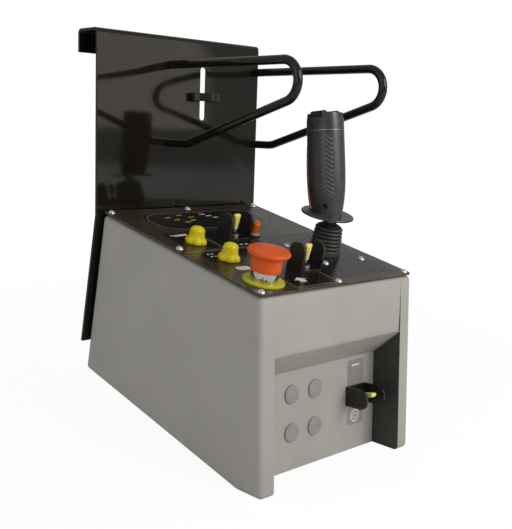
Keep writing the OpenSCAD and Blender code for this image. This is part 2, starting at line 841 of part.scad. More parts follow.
module rear_toggle_guard() { color(black) on_panel(rear_toggle_at) toggle_guard(); }
module rear_toggle_nut() { color(steel) on_panel(rear_toggle_at) toggle_nut(); }
module rear_toggle_switch() { color(steel) on_panel(rear_toggle_at) toggle_switch(panel_t); }
module rear_toggle_lever() { color(steel) on_panel(rear_toggle_at) toggle_lever(0); }
module rear_toggle_cap() { color(yellow) on_panel(rear_toggle_at) toggle_cap(0); }
module front_toggle_guard() { color(black) on_panel(front_toggle_at) toggle_guard(); }
module front_toggle_nut() { color(steel) on_panel(front_toggle_at) toggle_nut(); }
module front_toggle_switch() { color(steel) on_panel(front_toggle_at) toggle_switch(panel_t); }
module front_toggle_lever() { color(steel) on_panel(front_toggle_at) toggle_lever(0); }
module front_toggle_cap() { color(yellow) on_panel(front_toggle_at) toggle_cap(0); }
module face_toggle_guard() { color(black) on_face(face_toggle_at) toggle_guard(); }
module face_toggle_nut() { color(steel) on_face(face_toggle_at) toggle_nut(); }
module face_toggle_switch() { color(steel) on_face(face_toggle_at) toggle_switch(wall); }
module face_toggle_lever() { color(steel) on_face(face_toggle_at) toggle_lever(throw_tilt); }
module face_toggle_cap() { color(yellow) on_face(face_toggle_at) toggle_cap(throw_tilt); }

// Joystick base: a flange under the panel and an open box that carries the pivot pin
module joystick_base() {
  color(black) difference() {
    on_panel(joystick_at) difference() {
      union() {
        translate([0, 0, -panel_t - flange_t / 2])
          cube([flange_w, flange_w, flange_t], center = true);
        translate([0, 0, -panel_t - base_h / 2]) cube([base_w, base_w, base_h], center = true);
      }
      translate([0, 0, base_wall / 2 - panel_t - base_h / 2 + over])
        cube([base_w - 2 * base_wall, base_w - 2 * base_wall, base_h - base_wall + 2 * over],
          center = true);
      translate([0, 0, -pivot_depth]) rotate([0, 90, 0])
        cylinder(r = pivot_d / 2 + fit / 2, h = base_w + 2 * over, center = true);
    }
    at_stick_screws() translate([0, 0, -panel_t - flange_t - over])
      cylinder(r = screw_d / 2 + fit, h = flange_t + 2 * over);
  }
}

module joystick_pivot_pin() {
  color(steel) on_panel(joystick_at) translate([0, 0, -pivot_depth]) rotate([0, 90, 0])
    cylinder(d = pivot_d, h = base_w, center = true);
}

module joystick_screws() {
  color(steel) at_stick_screws()
    dome_screw(screw_head_d, screw_head_h, screw_d, panel_t + 2 * flange_t);
}

// Ribbed rubber bellows between the panel and the shaft
module joystick_bellows() {
  rib_span = bellows_h - bellows_neck_h - bellows_foot_h;
  count = bellows_ribs * rib_points;
  function core(s) = (bellows_d + (bellows_top_d - bellows_d) * s) / 2 - rib_depth;
  outer = [for (i = [0:count]) let (s = i / count)
    [core(s) - rib_depth * cos(360 * s * bellows_ribs), bellows_foot_h + rib_span * s]];
  inner = [for (i = [count:-1:0]) let (s = i / count)
    [core(s) - rib_depth * cos(360 * s * bellows_ribs) - bellows_wall, bellows_foot_h + rib_span * s]];
  neck = shaft_d / 2 + fit;
  color(black) on_panel(joystick_at) rotate_extrude() polygon(concat(
    [[bellows_d / 2, 0], [bellows_d / 2, bellows_foot_h - over]],
    outer,
    [[neck + 2 * bellows_wall, bellows_h - over], [neck + bellows_wall, bellows_h],
     [neck, bellows_h], [neck, bellows_h - bellows_wall - over]],
    inner,
    [[bellows_d / 2 - bellows_wall, 0]]));
}

// Shaft on its hub, with the hub's bore on the pivot pin
module joystick_shaft() {
  color(steel) on_panel(joystick_at) translate([0, 0, -pivot_depth]) difference() {
    union() {
      rotate([0, 90, 0]) cylinder(d = hub_d, h = hub_w, center = true);
      translate([0, 0, -tail_l])
        cylinder(d = shaft_d, h = tail_l + pivot_depth + disc_drop + disc_t + socket_l);
    }
    rotate([0, 90, 0]) cylinder(r = pivot_d / 2 + fit, h = hub_w + 2 * over, center = true);
    translate([0, 0, pivot_depth + disc_drop + disc_t + grip_screw_z]) rotate([0, 90, 0])
      cylinder(r = grip_screw_d / 2 + fit, h = 2 * shaft_d, center = true);
  }
}

module shaft_nut() {
  color(steel) on_panel(joystick_at) translate([0, 0, disc_drop - shaft_nut_t]) difference() {
    cylinder(d = shaft_nut_d, h = shaft_nut_t, $fn = 6);
    translate([0, 0, -over]) cylinder(r = shaft_d / 2 + fit, h = shaft_nut_t + 2 * over);
  }
}

// Middle of the disc's top
module on_disc() {
  on_panel(joystick_at - [0, disc_shift]) translate([0, 0, disc_drop + disc_t]) children();
}

module hand_disc() {
  edge = disc_t / 2;
  color(black) difference() {
    on_disc() translate([0, 0, -disc_t]) rotate_extrude() polygon(concat([[0, 0]],
      [for (i = [0:2 * corner_steps]) let (a = -90 + 90 * i / corner_steps)
        [disc_d / 2 - edge + edge * cos(a), edge + edge * sin(a)]],
      [[0, disc_t]]));
    on_panel(joystick_at) translate([0, 0, disc_drop - over])
      cylinder(r = shaft_d / 2 + fit, h = disc_t + 2 * over);
  }
}

// Frame of the grip: its foot at the middle of the disc's top, its axis tilted back
module at_grip() {
  on_disc() rotate([-grip_tilt, 0, 0]) children();
}

// One section of the grip at height z: a rounded oval of half width a and half depth b
function section(a, b, z) = [for (i = [0:section_points - 1])
  let (t = 360 * i / section_points, c = cos(t), s = sin(t), p = 2 / section_power)
  [a * sign(c) * pow(abs(c), p), b * sign(s) * pow(abs(s), p), z]];

// A solid through a list of sections, with flat ends
module loft(sections) {
  n = section_points;
  rows = len(sections);
  points = [for (s = sections) each s];
  sides = [for (r = [0:rows - 2], i = [0:n - 1]) each
    [[r * n + i, (r + 1) * n + i, r * n + (i + 1) % n],
     [(r + 1) * n + i, (r + 1) * n + (i + 1) % n, r * n + (i + 1) % n]]];
  low = [[for (i = [0:n - 1]) i]];
  high = [[for (i = [n - 1:-1:0]) (rows - 1) * n + i]];
  polyhedron(points = points, faces = concat(sides, low, high));
}

// Outer form of the grip, long enough below its foot to be cut flat on the disc
module grip_form() {
  foot = -grip_foot_share * grip_h;
  loft(concat([section(grip_half_w * grip_foot_w, grip_half_d * grip_foot_w, foot)],
    [for (i = [0:grip_rows]) let (s = i / grip_rows, w = grip_share(s))
      section(grip_half_w * w, grip_half_d * w, grip_h * s)]));
}

// Width of the grip at height s, both as shares: it swells from the foot to its widest
// place and eases in again towards the top
function grip_share(s) =
  let (t = max(0, (s - grip_waist) / (1 - grip_waist)))
  s < grip_waist ? 1 - (1 - grip_foot_w) * pow(1 - s / grip_waist, grip_swell)
    : 1 - (1 - grip_top_w) * t * t * (3 - 2 * t);

// One half of the grip, side -1 at the left and 1 at the right of the split
module grip_half(side) {
  reach = 2 * grip_half_d;
  difference() {
    at_grip() intersection() {
      grip_form();
      translate([side > 0 ? 0 : -reach, -reach, -reach]) cube([reach, 2 * reach, 2 * reach + grip_h]);
    }
    on_disc() translate([-reach, -reach, -grip_h]) cube([2 * reach, 2 * reach, grip_h]);
    on_panel(joystick_at) translate([0, 0, disc_drop])
      cylinder(r = shaft_d / 2 + fit, h = disc_t + socket_l + fit);
    at_grip() {
      translate([-grip_hollow[0] / 2, -grip_hollow[1], grip_h - grip_hollow[2] - over])
        cube([grip_hollow[0], grip_hollow[1], grip_hollow[2] + 2 * over]);
      trigger_slot();
      trigger_pivot() cylinder(r = trigger_pin_d / 2 + fit / 2, h = 2 * reach, center = true);
    }
    at_grip_screw() {
      cylinder(r = grip_screw_d / 2 + fit, h = grip_screw_l);
      translate([0, 0, -grip_half_w]) cylinder(r = grip_screw_head_d / 2 + fit, h = grip_half_w);
    }
  }
}

// Axis of the screw that draws the two halves together through the shaft, pointing right
// from its head
module at_grip_screw() {
  on_panel(joystick_at) translate([grip_screw_sink - grip_half_w, 0, disc_drop + disc_t + grip_screw_z])
    rotate([0, 90, 0]) children();
}

module grip_screw() {
  color(steel) at_grip_screw() {
    cylinder(d = grip_screw_d, h = grip_screw_l);
    translate([0, 0, -grip_screw_head_h]) cylinder(d = grip_screw_head_d, h = grip_screw_head_h);
  }
}

// Slot in the back of the grip for the trigger
module trigger_slot() {
  slab(trigger_w + 2 * clear, concat(
    [[grip_half_d - trigger_t - trigger_slack, trigger_high + clear],
     [grip_half_d - trigger_t - trigger_slack, trigger_low - clear - over]],
    [[2 * grip_half_d, trigger_low - clear - over], [2 * grip_half_d, trigger_high + clear]]));
}

// Axis of the trigger's pin, near the top of the trigger
module trigger_pivot() {
  translate([0, grip_half_d - trigger_t + trigger_pin_d, trigger_high - trigger_pin_d])
    rotate([0, 90, 0]) children();
}

module grip_left_half() { color(black) grip_half(-1); }
module grip_right_half() { color(black) grip_half(1); }

// Trigger: a curved bar that stands proud of the back of the grip
module grip_trigger() {
  span = trigger_high - trigger_low;
  steps = 2 * corner_steps;
  back = [for (i = [0:steps]) let (s = i / steps)
    [grip_back(trigger_low + span * s) + trigger_proud * sin(90 * (1 - s * s)), trigger_low + span * s]];
  front = [for (i = [steps:-1:0]) let (s = i / steps)
    [grip_half_d - trigger_t + clear - over * (1 - s), trigger_low + span * s]];
  color(red) at_grip() difference() {
    slab(trigger_w, concat(back, front));
    trigger_pivot() cylinder(r = trigger_pin_d / 2 + fit, h = trigger_w + 2 * over, center = true);
  }
}

// Half depth of the grip at height z
function grip_back(z) = grip_half_d * grip_share(z / grip_h);

module trigger_pin() {
  color(steel) at_grip() trigger_pivot()
    cylinder(d = trigger_pin_d, h = trigger_w + 2 * trigger_pin_d, center = true);
}

// Cap of the grip: a spigot that holds the halves together, a groove all round where it
// meets them, and a pocket across its top for the rocker
module grip_cap() {
  a = grip_half_w * grip_top_w;
  b = grip_half_d * grip_top_w;
  low_z = grip_h + cap_gap;
  high_z = low_z + grip_cap_h;
  color(black) at_grip() difference() {
    union() {
      loft([section(a, b, low_z), section(a, b, low_z + grip_cap_h / 2),
            section(a * cap_taper_share, b * cap_taper_share, high_z)]);
      translate([0, 0, grip_h]) linear_extrude(height = 2 * cap_gap)
        polygon([for (p = section(a - cap_gap, b - cap_gap, 0)) [p[0], p[1]]]);
      translate([clear - grip_hollow[0] / 2, clear - grip_hollow[1], grip_h - spigot_l])
        cube([grip_hollow[0] - 2 * clear, grip_hollow[1] - 2 * clear, spigot_l + cap_gap]);
    }
    for (cut = [[2 * grip_half_w, pocket_step], [rocker_half_l + pocket_gap, pocket_depth]])
      translate([-cut[0], -pocket_w / 2, high_z - cut[1]]) cube([2 * cut[0], pocket_w, cut[1] + over]);
    rocker_axis() cylinder(r = rocker_pin_d / 2 + fit / 2, h = pocket_w + 4 * rocker_pin_d, center = true);
  }
}

// Axis of the rocker, along the depth of the grip
module rocker_axis() {
  translate([0, 0, grip_h + cap_gap + grip_cap_h - pocket_depth + rocker_hub_d / 2 + clear])
    rotate([90, 0, 0]) children();
}

// Thumb rocker: two raised lobes beside a dip
module thumb_rocker() {
  l = rocker_half_l;
  lobe_l = l - rocker_lobe / 2;
  side = [[rocker_hub_d / 2, 0], [l, rocker_rise], [l, rocker_lobe - rocker_round],
    [lobe_l, rocker_lobe], [rocker_hub_d / 2, rocker_dip], [-rocker_hub_d / 2, rocker_dip],
    [-lobe_l, rocker_lobe], [-l, rocker_lobe - rocker_round], [-l, rocker_rise],
    [-rocker_hub_d / 2, 0]];
  width = pocket_w - 2 * clear;
  color(black) at_grip() rocker_axis() difference() {
    union() {
      linear_extrude(height = width, center = true)
        polygon(rounded(side, [for (p = side) p[1] > rocker_rise ? rocker_round : 0]));
      cylinder(d = rocker_hub_d, h = width, center = true);
    }
    cylinder(r = rocker_pin_d / 2 + fit, h = pocket_w, center = true);
  }
}

module rocker_pin() {
  color(steel) at_grip() rocker_axis()
    cylinder(d = rocker_pin_d, h = pocket_w + 3 * rocker_pin_d, center = true);
}

// Circuit board on four posts, with its terminals and relays
module circuit_board() {
  face = -standoff - wall - board_post_h - board[1];
  color(green) difference() {
    on_lower_plate(0, board_centre) translate([0, 0, face]) union() {
      translate([0, 0, board[1] / 2]) cube([board[0], board[2], board[1]], center = true);
      for (x = [-1, 1] * board[0] / 4) {
        translate([x, board[2] / 2 - terminal[1], -terminal[2] / 2]) cube(terminal, center = true);
        translate([x, -board[2] / 4, -relay[2] / 2]) cube(relay, center = true);
      }
    }
    at_board_posts() translate([0, 0, face - over])
      cylinder(r = board_screw_d / 2 + fit, h = board[1] + 2 * over);
  }
}

module board_screws() {
  face = -standoff - wall - board_post_h - board[1];
  color(steel) at_board_posts() translate([0, 0, face]) rotate([180, 0, 0])
    dome_screw(board_screw_head_d, board_screw_head_h, board_screw_d, board[1] + board_post_h - over);
}

// Cable gland in the bottom, with its locknut inside, and its sealing nut
module cable_gland() {
  color(black) on_bottom() difference() {
    union() {
      translate([0, 0, -wall - gland_thread_l]) cylinder(d = gland_d, h = wall + gland_thread_l);
      cylinder(d = gland_flange_d, h = gland_flange_t, $fn = 6);
      cylinder(d = gland_d - over, h = gland_flange_t + gland_thread_l);
      translate([0, 0, -wall - gland_lock_t]) cylinder(d = gland_lock_d, h = gland_lock_t, $fn = 6);
    }
    translate([0, 0, -wall - gland_thread_l - over])
      cylinder(d = gland_bore_d, h = wall + gland_flange_t + 2 * gland_thread_l + 2 * over);
  }
}

module gland_nut() {
  color(black) on_bottom() translate([0, 0, gland_flange_t]) difference() {
    cylinder(d = gland_cap_d, h = gland_nut_l);
    translate([0, 0, -over]) cylinder(r = (gland_d - over) / 2 + fit, h = gland_thread_l + fit + over);
    cylinder(d = gland_bore_d, h = gland_nut_l + over);
  }
}

mounting_bracket();
left_hoop_guard();
right_hoop_guard();
strap_loop();
bracket_bolts();
housing();
blanking_plugs();
panel_gasket();
control_panel();
panel_screws();
estop_legend_ring();
estop_bezel();
estop_locknut();
estop_contacts();
estop_plunger();
estop_head();
rear_button_boot();
rear_button_plunger();
rear_button_switch();
front_button_boot();
front_button_plunger();
front_button_switch();
lamp_seal();
lamp_bezel();
lamp_lens();
lamp_holder();
rear_toggle_guard();
rear_toggle_nut();
rear_toggle_switch();
rear_toggle_lever();
rear_toggle_cap();
front_toggle_guard();
front_toggle_nut();
front_toggle_switch();
front_toggle_lever();
front_toggle_cap();
face_toggle_guard();
face_toggle_nut();
face_toggle_switch();
face_toggle_lever();
face_toggle_cap();
joystick_base();
joystick_pivot_pin();
joystick_screws();
joystick_bellows();
joystick_shaft();
shaft_nut();
hand_disc();
grip_left_half();
grip_right_half();
grip_screw();
grip_cap();
thumb_rocker();
rocker_pin();
grip_trigger();
trigger_pin();
circuit_board();
board_screws();
cable_gland();
gland_nut();
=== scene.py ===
"""Fine pieces, finishes and stage for a scissor lift control box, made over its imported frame."""
import json
from math import cos, pi, radians, sin

import bmesh
import bpy
import numpy as np
from bpy.props import FloatProperty, FloatVectorProperty, IntProperty, PointerProperty
from mathutils import Matrix, Vector


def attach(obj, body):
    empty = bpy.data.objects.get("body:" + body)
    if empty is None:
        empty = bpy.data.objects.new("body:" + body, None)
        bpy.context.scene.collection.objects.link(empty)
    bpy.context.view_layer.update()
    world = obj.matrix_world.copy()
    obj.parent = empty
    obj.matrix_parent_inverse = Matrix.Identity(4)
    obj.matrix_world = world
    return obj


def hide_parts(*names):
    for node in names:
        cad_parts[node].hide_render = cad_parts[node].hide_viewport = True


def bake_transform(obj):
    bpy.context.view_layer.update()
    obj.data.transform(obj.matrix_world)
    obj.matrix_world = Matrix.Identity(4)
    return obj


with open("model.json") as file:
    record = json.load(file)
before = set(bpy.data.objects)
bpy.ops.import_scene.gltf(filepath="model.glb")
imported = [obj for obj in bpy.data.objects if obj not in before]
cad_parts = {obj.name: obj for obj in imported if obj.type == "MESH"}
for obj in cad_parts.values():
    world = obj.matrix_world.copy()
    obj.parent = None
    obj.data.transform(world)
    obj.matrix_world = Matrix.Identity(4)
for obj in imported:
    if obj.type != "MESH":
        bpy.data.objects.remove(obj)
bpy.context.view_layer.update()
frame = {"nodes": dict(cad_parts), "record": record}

bl_info = {
    "name": "Scissor Lift Control Box",
    "version": (1, 0, 0),
    "blender": (4, 5, 0),
    "location": "3D View > Sidebar > Control Box",
    "description": "Fine pieces, finishes and stage for a scissor lift control box",
    "category": "Object",
}

# Shapes are written in millimetres and placed in metres
MM = 0.001
BODY_OF = {
    node: body for body, nodes in frame["record"]["behaviour"]["bodies"].items() for node in nodes
}

# Places of the drawing: the panel slopes down to the operator, the front leans forward
PANEL_SLOPE = radians(12)
PANEL_EDGE = Vector((0, -23, -184.6)) * MM
PANEL_SIZE = (216, 244.5)
FRONT_LEAN = radians(2.6)
FACE_MIDDLE = Vector((0, -233.93, -362.6)) * MM
GRIP_TILT = radians(17.5)
DISC_TOP = 41.5
DISC_SHIFT = 6
# Height of the floor, just under the box, in metres
FOOT = -0.4207
# Half the width and half the depth of the grip's top
GRIP_TOP = (16.94, 19.5)

# Places of the controls: across from the panel's middle, and down from its rear edge
ESTOP = (-80, 218)
REAR_BUTTON = (-72, 110)
FRONT_BUTTON = (-72, 160.5)
REAR_TOGGLE = (-17, 105)
FRONT_TOGGLE = (-10, 202)
LAMP = (14, 103.5)
JOYSTICK = (56, 167.5)
FACE_TOGGLE_X = 61.5
FACE_TOGGLE_LEAN = radians(10)
TOGGLE_PIVOT = 4
STICK_SCREW_REACH = 28
SCREW_INSET = 6


def on_panel(place, height=0.0):
    """Frame of a place on the panel, with Z square to the panel and Y towards the rail."""
    across, down = place
    return (
        Matrix.Translation(PANEL_EDGE)
        @ Matrix.Rotation(PANEL_SLOPE, 4, "X")
        @ Matrix.Translation(Vector((across, -down, height)) * MM)
    )


def on_face(across, up, height=0.0):
    """Frame of a place on the recessed face, with Z pointing out of it and Y up."""
    return (
        Matrix.Translation(FACE_MIDDLE)
        @ Matrix.Rotation(pi / 2 - FRONT_LEAN, 4, "X")
        @ Matrix.Translation(Vector((across, up, height)) * MM)
    )


def at_grip():
    """Frame of the grip: its foot in the middle of the disc's top, its axis tilted back."""
    disc = (JOYSTICK[0], JOYSTICK[1] - DISC_SHIFT)
    return on_panel(disc, DISC_TOP) @ Matrix.Rotation(-GRIP_TILT, 4, "X")


def placed(points, place):
    """Points in millimetres moved into a frame, in metres: turned, then shifted."""
    turn = np.array(place)[:3, :3]
    shift = np.array(place)[:3, 3]
    return np.asarray(points, dtype=float) * MM @ turn.T + shift


class BoxColours(bpy.types.PropertyGroup):
    """Colours of the control box's finishes."""

    paint: FloatVectorProperty(
        name="Bracket Paint", description="Gloss paint of the bracket and its hoops",
        subtype="COLOR_GAMMA", default=(0.104, 0.092, 0.068), min=0, max=1)
    moulding: FloatVectorProperty(
        name="Housing", description="Moulded grey of the housing",
        subtype="COLOR_GAMMA", default=(0.645, 0.632, 0.607), min=0, max=1)
    film: FloatVectorProperty(
        name="Panel Film", description="Olive brown film over the panel",
        subtype="COLOR_GAMMA", default=(0.265, 0.225, 0.175), min=0, max=1)
    label: FloatVectorProperty(
        name="Dark Fields", description="Dark printed fields round the controls",
        subtype="COLOR_GAMMA", default=(0.080, 0.075, 0.068), min=0, max=1)
    outline: FloatVectorProperty(
        name="Outlines", description="Thin printed lines between the fields",
        subtype="COLOR_GAMMA", default=(0.560, 0.535, 0.460), min=0, max=1)
    pale: FloatVectorProperty(
        name="Pale Marks", description="Pale printed marks",
        subtype="COLOR_GAMMA", default=(0.870, 0.850, 0.810), min=0, max=1)
    boot: FloatVectorProperty(
        name="Button Boots", description="Yellow rubber of the push buttons' boots",
        subtype="COLOR_GAMMA", default=(0.845, 0.770, 0.000), min=0, max=1)
    mushroom: FloatVectorProperty(
        name="Stop Head", description="Red plastic of the emergency stop's head",
        subtype="COLOR_GAMMA", default=(0.840, 0.340, 0.080), min=0, max=1)
    ring: FloatVectorProperty(
        name="Legend Ring", description="Yellow ring round the emergency stop",
        subtype="COLOR_GAMMA", default=(0.760, 0.730, 0.080), min=0, max=1)
    cap: FloatVectorProperty(
        name="Toggle Caps", description="Pale yellow plastic of the toggle caps",
        subtype="COLOR_GAMMA", default=(0.910, 0.865, 0.440), min=0, max=1)
    amber: FloatVectorProperty(
        name="Lamp", description="Amber plastic of the lamp's lens",
        subtype="COLOR_GAMMA", default=(0.950, 0.470, 0.080), min=0, max=1)
    trigger: FloatVectorProperty(
        name="Trigger", description="Red plastic of the joystick's trigger",
        subtype="COLOR_GAMMA", default=(0.740, 0.200, 0.120), min=0, max=1)
    grip: FloatVectorProperty(
        name="Grip", description="Dark plastic of the joystick's grip",
        subtype="COLOR_GAMMA", default=(0.215, 0.208, 0.200), min=0, max=1)
    rubber: FloatVectorProperty(
        name="Bellows", description="Black rubber of the bellows and seals",
        subtype="COLOR_GAMMA", default=(0.190, 0.182, 0.170), min=0, max=1)


class BoxSizes(bpy.types.PropertyGroup):
    """Sizes of the fine pieces, in metres."""

    edge: FloatProperty(
        name="Sheet Edge", description="Rounding of the sheet metal's edges",
        subtype="DISTANCE", unit="LENGTH", default=0.0004, min=0.0001, max=0.001)
    moulded_edge: FloatProperty(
        name="Moulded Edge", description="Rounding of the housing's inner edges",
        subtype="DISTANCE", unit="LENGTH", default=0.0014, min=0.0003, max=0.003)
    print_height: FloatProperty(
        name="Print Height", description="Thickness of one layer of the panel's print",
        subtype="DISTANCE", unit="LENGTH", default=0.00005, min=0.00002, max=0.0002)
    line: FloatProperty(
        name="Outline Width", description="Width of the printed lines",
        subtype="DISTANCE", unit="LENGTH", default=0.0011, min=0.0004, max=0.003)
    ribs: IntProperty(
        name="Bellows Ribs", description="Number of ribs on the bellows", default=6, min=3, max=9)
    lobes: IntProperty(
        name="Boot Lobes", description="Number of lobes round a boot's base",
        default=6, min=3, max=9)
    knurl: FloatProperty(
        name="Grip Pattern", description="Pitch of the raised pattern on the grip's sides",
        subtype="DISTANCE", unit="LENGTH", default=0.0046, min=0.001, max=0.008)


class StageSettings(bpy.types.PropertyGroup):
    """Floor, light and view."""

    floor: FloatProperty(
        name="Floor Reach", description="Half the width of the floor",
        subtype="DISTANCE", unit="LENGTH", default=6.0, min=1, max=20)
    key: FloatProperty(
        name="Key Light", description="Power of the large light at the front",
        subtype="POWER", unit="POWER", default=22, min=0, max=200)
    fill: FloatProperty(
        name="Fill Light", description="Power of the light at the left",
        subtype="POWER", unit="POWER", default=5, min=0, max=200)
    glow: FloatProperty(
        name="Plate Glow", description="Power of the low light that the gloss plate mirrors",
        subtype="POWER", unit="POWER", default=3.2, min=0, max=200)
    sky: FloatProperty(
        name="Sky", description="Strength of the even light from all round",
        default=0.42, min=0, max=2)


def colours():
    """The box's colours, which the scene holds."""
    return bpy.context.scene.box_colours


def sizes():
    """The fine pieces' sizes, which the scene holds."""
    return bpy.context.scene.box_sizes


def linear(colour):
    """A screen colour as light: each channel is ((c + 0.055) / 1.055) to the power 2.4."""
    light = [((c + 0.055) / 1.055) ** 2.4 if c > 0.04045 else c / 12.92 for c in colour]
    return (*light, 1.0)


def add_node(tree, kind, inputs=None, **settings):
    """Adds a shader node. An input is a value, or the socket that it is linked to."""
    made = tree.nodes.new(kind)
    for key, value in settings.items():
        setattr(made, key, value)
    for key, value in (inputs or {}).items():
        if isinstance(value, bpy.types.NodeSocket):
            tree.links.new(value, made.inputs[key])
        else:
            made.inputs[key].default_value = value
    return made


def noise(tree, where, size, detail=3.0, rough=0.55):
    """Even noise whose patches measure about size, in millimetres."""
    inputs = {"Vector": where, "Scale": 1 / (size * MM), "Detail": detail, "Roughness": rough}
    return add_node(tree, "ShaderNodeTexNoise", inputs).outputs["Fac"]


def spread(tree, value, low, high, new_low, new_high):
    """Stretches a value from one range onto another, held at its ends."""
    inputs = {
        "Value": value, "From Min": low, "From Max": high, "To Min": new_low, "To Max": new_high}
    return add_node(tree, "ShaderNodeMapRange", inputs).outputs["Result"]


def sums(tree, operation, first, second=0.0):
    """One step of arithmetic. A step on one value, such as SINE, ignores the second."""
    made = add_node(tree, "ShaderNodeMath", {0: first, 1: second}, operation=operation)
    return made.outputs[0]


def axes_of(tree, vector):
    """The three parts of a vector, as sockets named X, Y and Z."""
    return add_node(tree, "ShaderNodeSeparateXYZ", {0: vector}).outputs


def facing(tree):
    """The direction in which the surface faces at each spot."""
    return add_node(tree, "ShaderNodeNewGeometry").outputs["Normal"]


def seen_from(tree, where, place):
    """Coordinates as a frame sees them: turned, then shifted."""
    back = place.inverted()
    return add_node(tree, "ShaderNodeMapping", {
        "Vector": where, "Location": back.to_translation(), "Rotation": back.to_euler(),
    }).outputs[0]


def mixed(tree, amount, first, second, blend="MIX"):
    """Mixes two colours."""
    made = add_node(tree, "ShaderNodeMix", data_type="RGBA", blend_type=blend)
    for index, value in ((0, amount), (6, first), (7, second)):
        if isinstance(value, bpy.types.NodeSocket):
            tree.links.new(value, made.inputs[index])
        else:
            made.inputs[index].default_value = value
    return made.outputs[2]


def worn_edges(tree, where, reach):
    """One on the edges of a piece and nought on its faces, broken up by noise.

    The surface is rounded over reach, in millimetres; where its rounded direction parts
    from the true one, there is an edge."""
    rounded = add_node(tree, "ShaderNodeBevel", {"Radius": reach * MM}, samples=4)
    alike = add_node(
        tree, "ShaderNodeVectorMath",
        {0: rounded.outputs["Normal"], 1: facing(tree)}, operation="DOT_PRODUCT")
    edge = spread(tree, alike.outputs["Value"], 0.985, 0.86, 0.0, 1.0)
    patchy = spread(tree, noise(tree, where, 7), 0.42, 0.62, 0.15, 1.0)
    return sums(tree, "MULTIPLY", edge, patchy)


def finish(
    name, colour, roughness, metallic=0.0, shade=0.10, patch=35.0, grain=0.8, depth=0.02,
    smudge=0.06, dust=0.0, wear=None, relief=None, tint=None, **shader,
):
    """A finish that varies as the real one does.

    The colour swings by shade over patches of the given size, roughness swings by smudge,
    and fine grain of the given size and depth makes the bump. dust greys what faces up.
    wear is (colour, reach, amount) of the edges, relief adds to the bump's height and tint
    changes the colour. Sizes are in millimetres."""
    made = bpy.data.materials.new(name)
    made.use_nodes = True
    tree = made.node_tree
    surface = tree.nodes["Principled BSDF"]
    where = add_node(tree, "ShaderNodeTexCoord").outputs["Object"]
    clouds = noise(tree, where, patch)
    swing = spread(tree, clouds, 0.3, 0.7, 1 - shade, 1 + shade)
    base = mixed(tree, 1.0, linear(colour), swing, "MULTIPLY")
    if tint:
        base = tint(tree, where, base)
    if dust:
        lying = spread(tree, axes_of(tree, facing(tree))["Z"], 0.3, 1.0, 0.0, dust)
        base = mixed(tree, sums(tree, "MULTIPLY", lying, clouds), base, linear((0.62, 0.60, 0.56)))
    if wear:
        worn, reach, amount = wear
        base = mixed(
            tree, sums(tree, "MULTIPLY", worn_edges(tree, where, reach), amount),
            base, linear(worn))
    tree.links.new(base, surface.inputs["Base Color"])
    streaks = noise(tree, where, patch / 4, 4.0)
    tree.links.new(
        spread(tree, streaks, 0.3, 0.7, max(roughness - smudge, 0.02), roughness + smudge),
        surface.inputs["Roughness"])
    height = sums(tree, "MULTIPLY", noise(tree, where, grain, 2.0), depth)
    if relief:
        height = sums(tree, "ADD", height, relief(tree, where))
    bump = add_node(tree, "ShaderNodeBump", {"Height": height, "Distance": MM, "Strength": 1.0})
    tree.links.new(bump.outputs["Normal"], surface.inputs["Normal"])
    surface.inputs["Metallic"].default_value = metallic
    for key, value in shader.items():
        surface.inputs[key.replace("_", " ")].default_value = value
    return made


def orange_peel(depth, size):
    """Slow waves of sprayed paint, as noise of the given size and depth in millimetres."""
    return lambda tree, where: sums(tree, "MULTIPLY", noise(tree, where, size, 1.0), depth)


def turned_rings(place, radian, depth):
    """Fine rings of a turned part: a sine wave of the distance from the frame's axis, which
    turns by one radian over each stretch of radian millimetres."""
    # At a scale of one, the wave texture turns by this many radians per unit
    texture_rate = 20

    def relief(tree, where):
        wave = add_node(
            tree, "ShaderNodeTexWave",
            {"Vector": seen_from(tree, where, place), "Distortion": 0.6,
             "Scale": 1 / (radian * MM * texture_rate)},
            wave_type="RINGS", rings_direction="Z")
        return sums(tree, "MULTIPLY", wave.outputs["Fac"], depth)

    return relief


def grip_pattern(tree, where):
    """Raised chevrons on the two sides of the grip, from nought to one.

    A sine wave runs along the grip, and bends back with the distance from the middle of
    its strip; it shows only inside the strip, away from the split and from the ends."""
    axes = axes_of(tree, seen_from(tree, where, at_grip()))
    turns = 2 * pi / sizes().knurl
    middle, half_width = -12 * MM, 5.5 * MM
    from_middle = sums(tree, "ABSOLUTE", sums(tree, "SUBTRACT", axes["Y"], middle))
    along = sums(tree, "MULTIPLY", axes["Z"], turns)
    slant = sums(tree, "MULTIPLY", from_middle, turns)
    wave = sums(tree, "SINE", sums(tree, "ADD", along, slant))
    shown = spread(tree, wave, 0.1, 0.7, 0.0, 1.0)
    # What fades it out, and where it is hidden and where it is whole
    fades = (
        (sums(tree, "ABSOLUTE", axes["X"]), 7 * MM, 9 * MM),
        (from_middle, half_width, half_width * 0.8),
        (axes["Z"], 15 * MM, 20 * MM),
        (axes["Z"], 80 * MM, 77 * MM),
    )
    for value, hidden, whole in fades:
        shown = sums(tree, "MULTIPLY", shown, spread(tree, value, hidden, whole, 0.0, 1.0))
    return shown


def grip_relief(tree, where):
    """The chevrons stand a little proud."""
    return sums(tree, "MULTIPLY", grip_pattern(tree, where), 0.35)


def grip_painted_highlight(tree, where, base):
    """A painted highlight: the tops of the chevrons are painted paler."""
    amount = sums(tree, "MULTIPLY", grip_pattern(tree, where), 0.5)
    return mixed(tree, amount, base, linear((0.48, 0.47, 0.46)))


def cheek_painted_shade(tree, where, base):
    """Painted shade on the inner side of the right cheek: what faces left, right of the middle, is
    darkened.
    """
    left = spread(tree, axes_of(tree, facing(tree))["X"], -0.75, -0.97, 0.0, 0.93)
    right = spread(tree, axes_of(tree, where)["X"], 80 * MM, 85 * MM, 0.0, 1.0)
    return mixed(tree, sums(tree, "MULTIPLY", left, right), base, linear((0.12, 0.12, 0.11)))


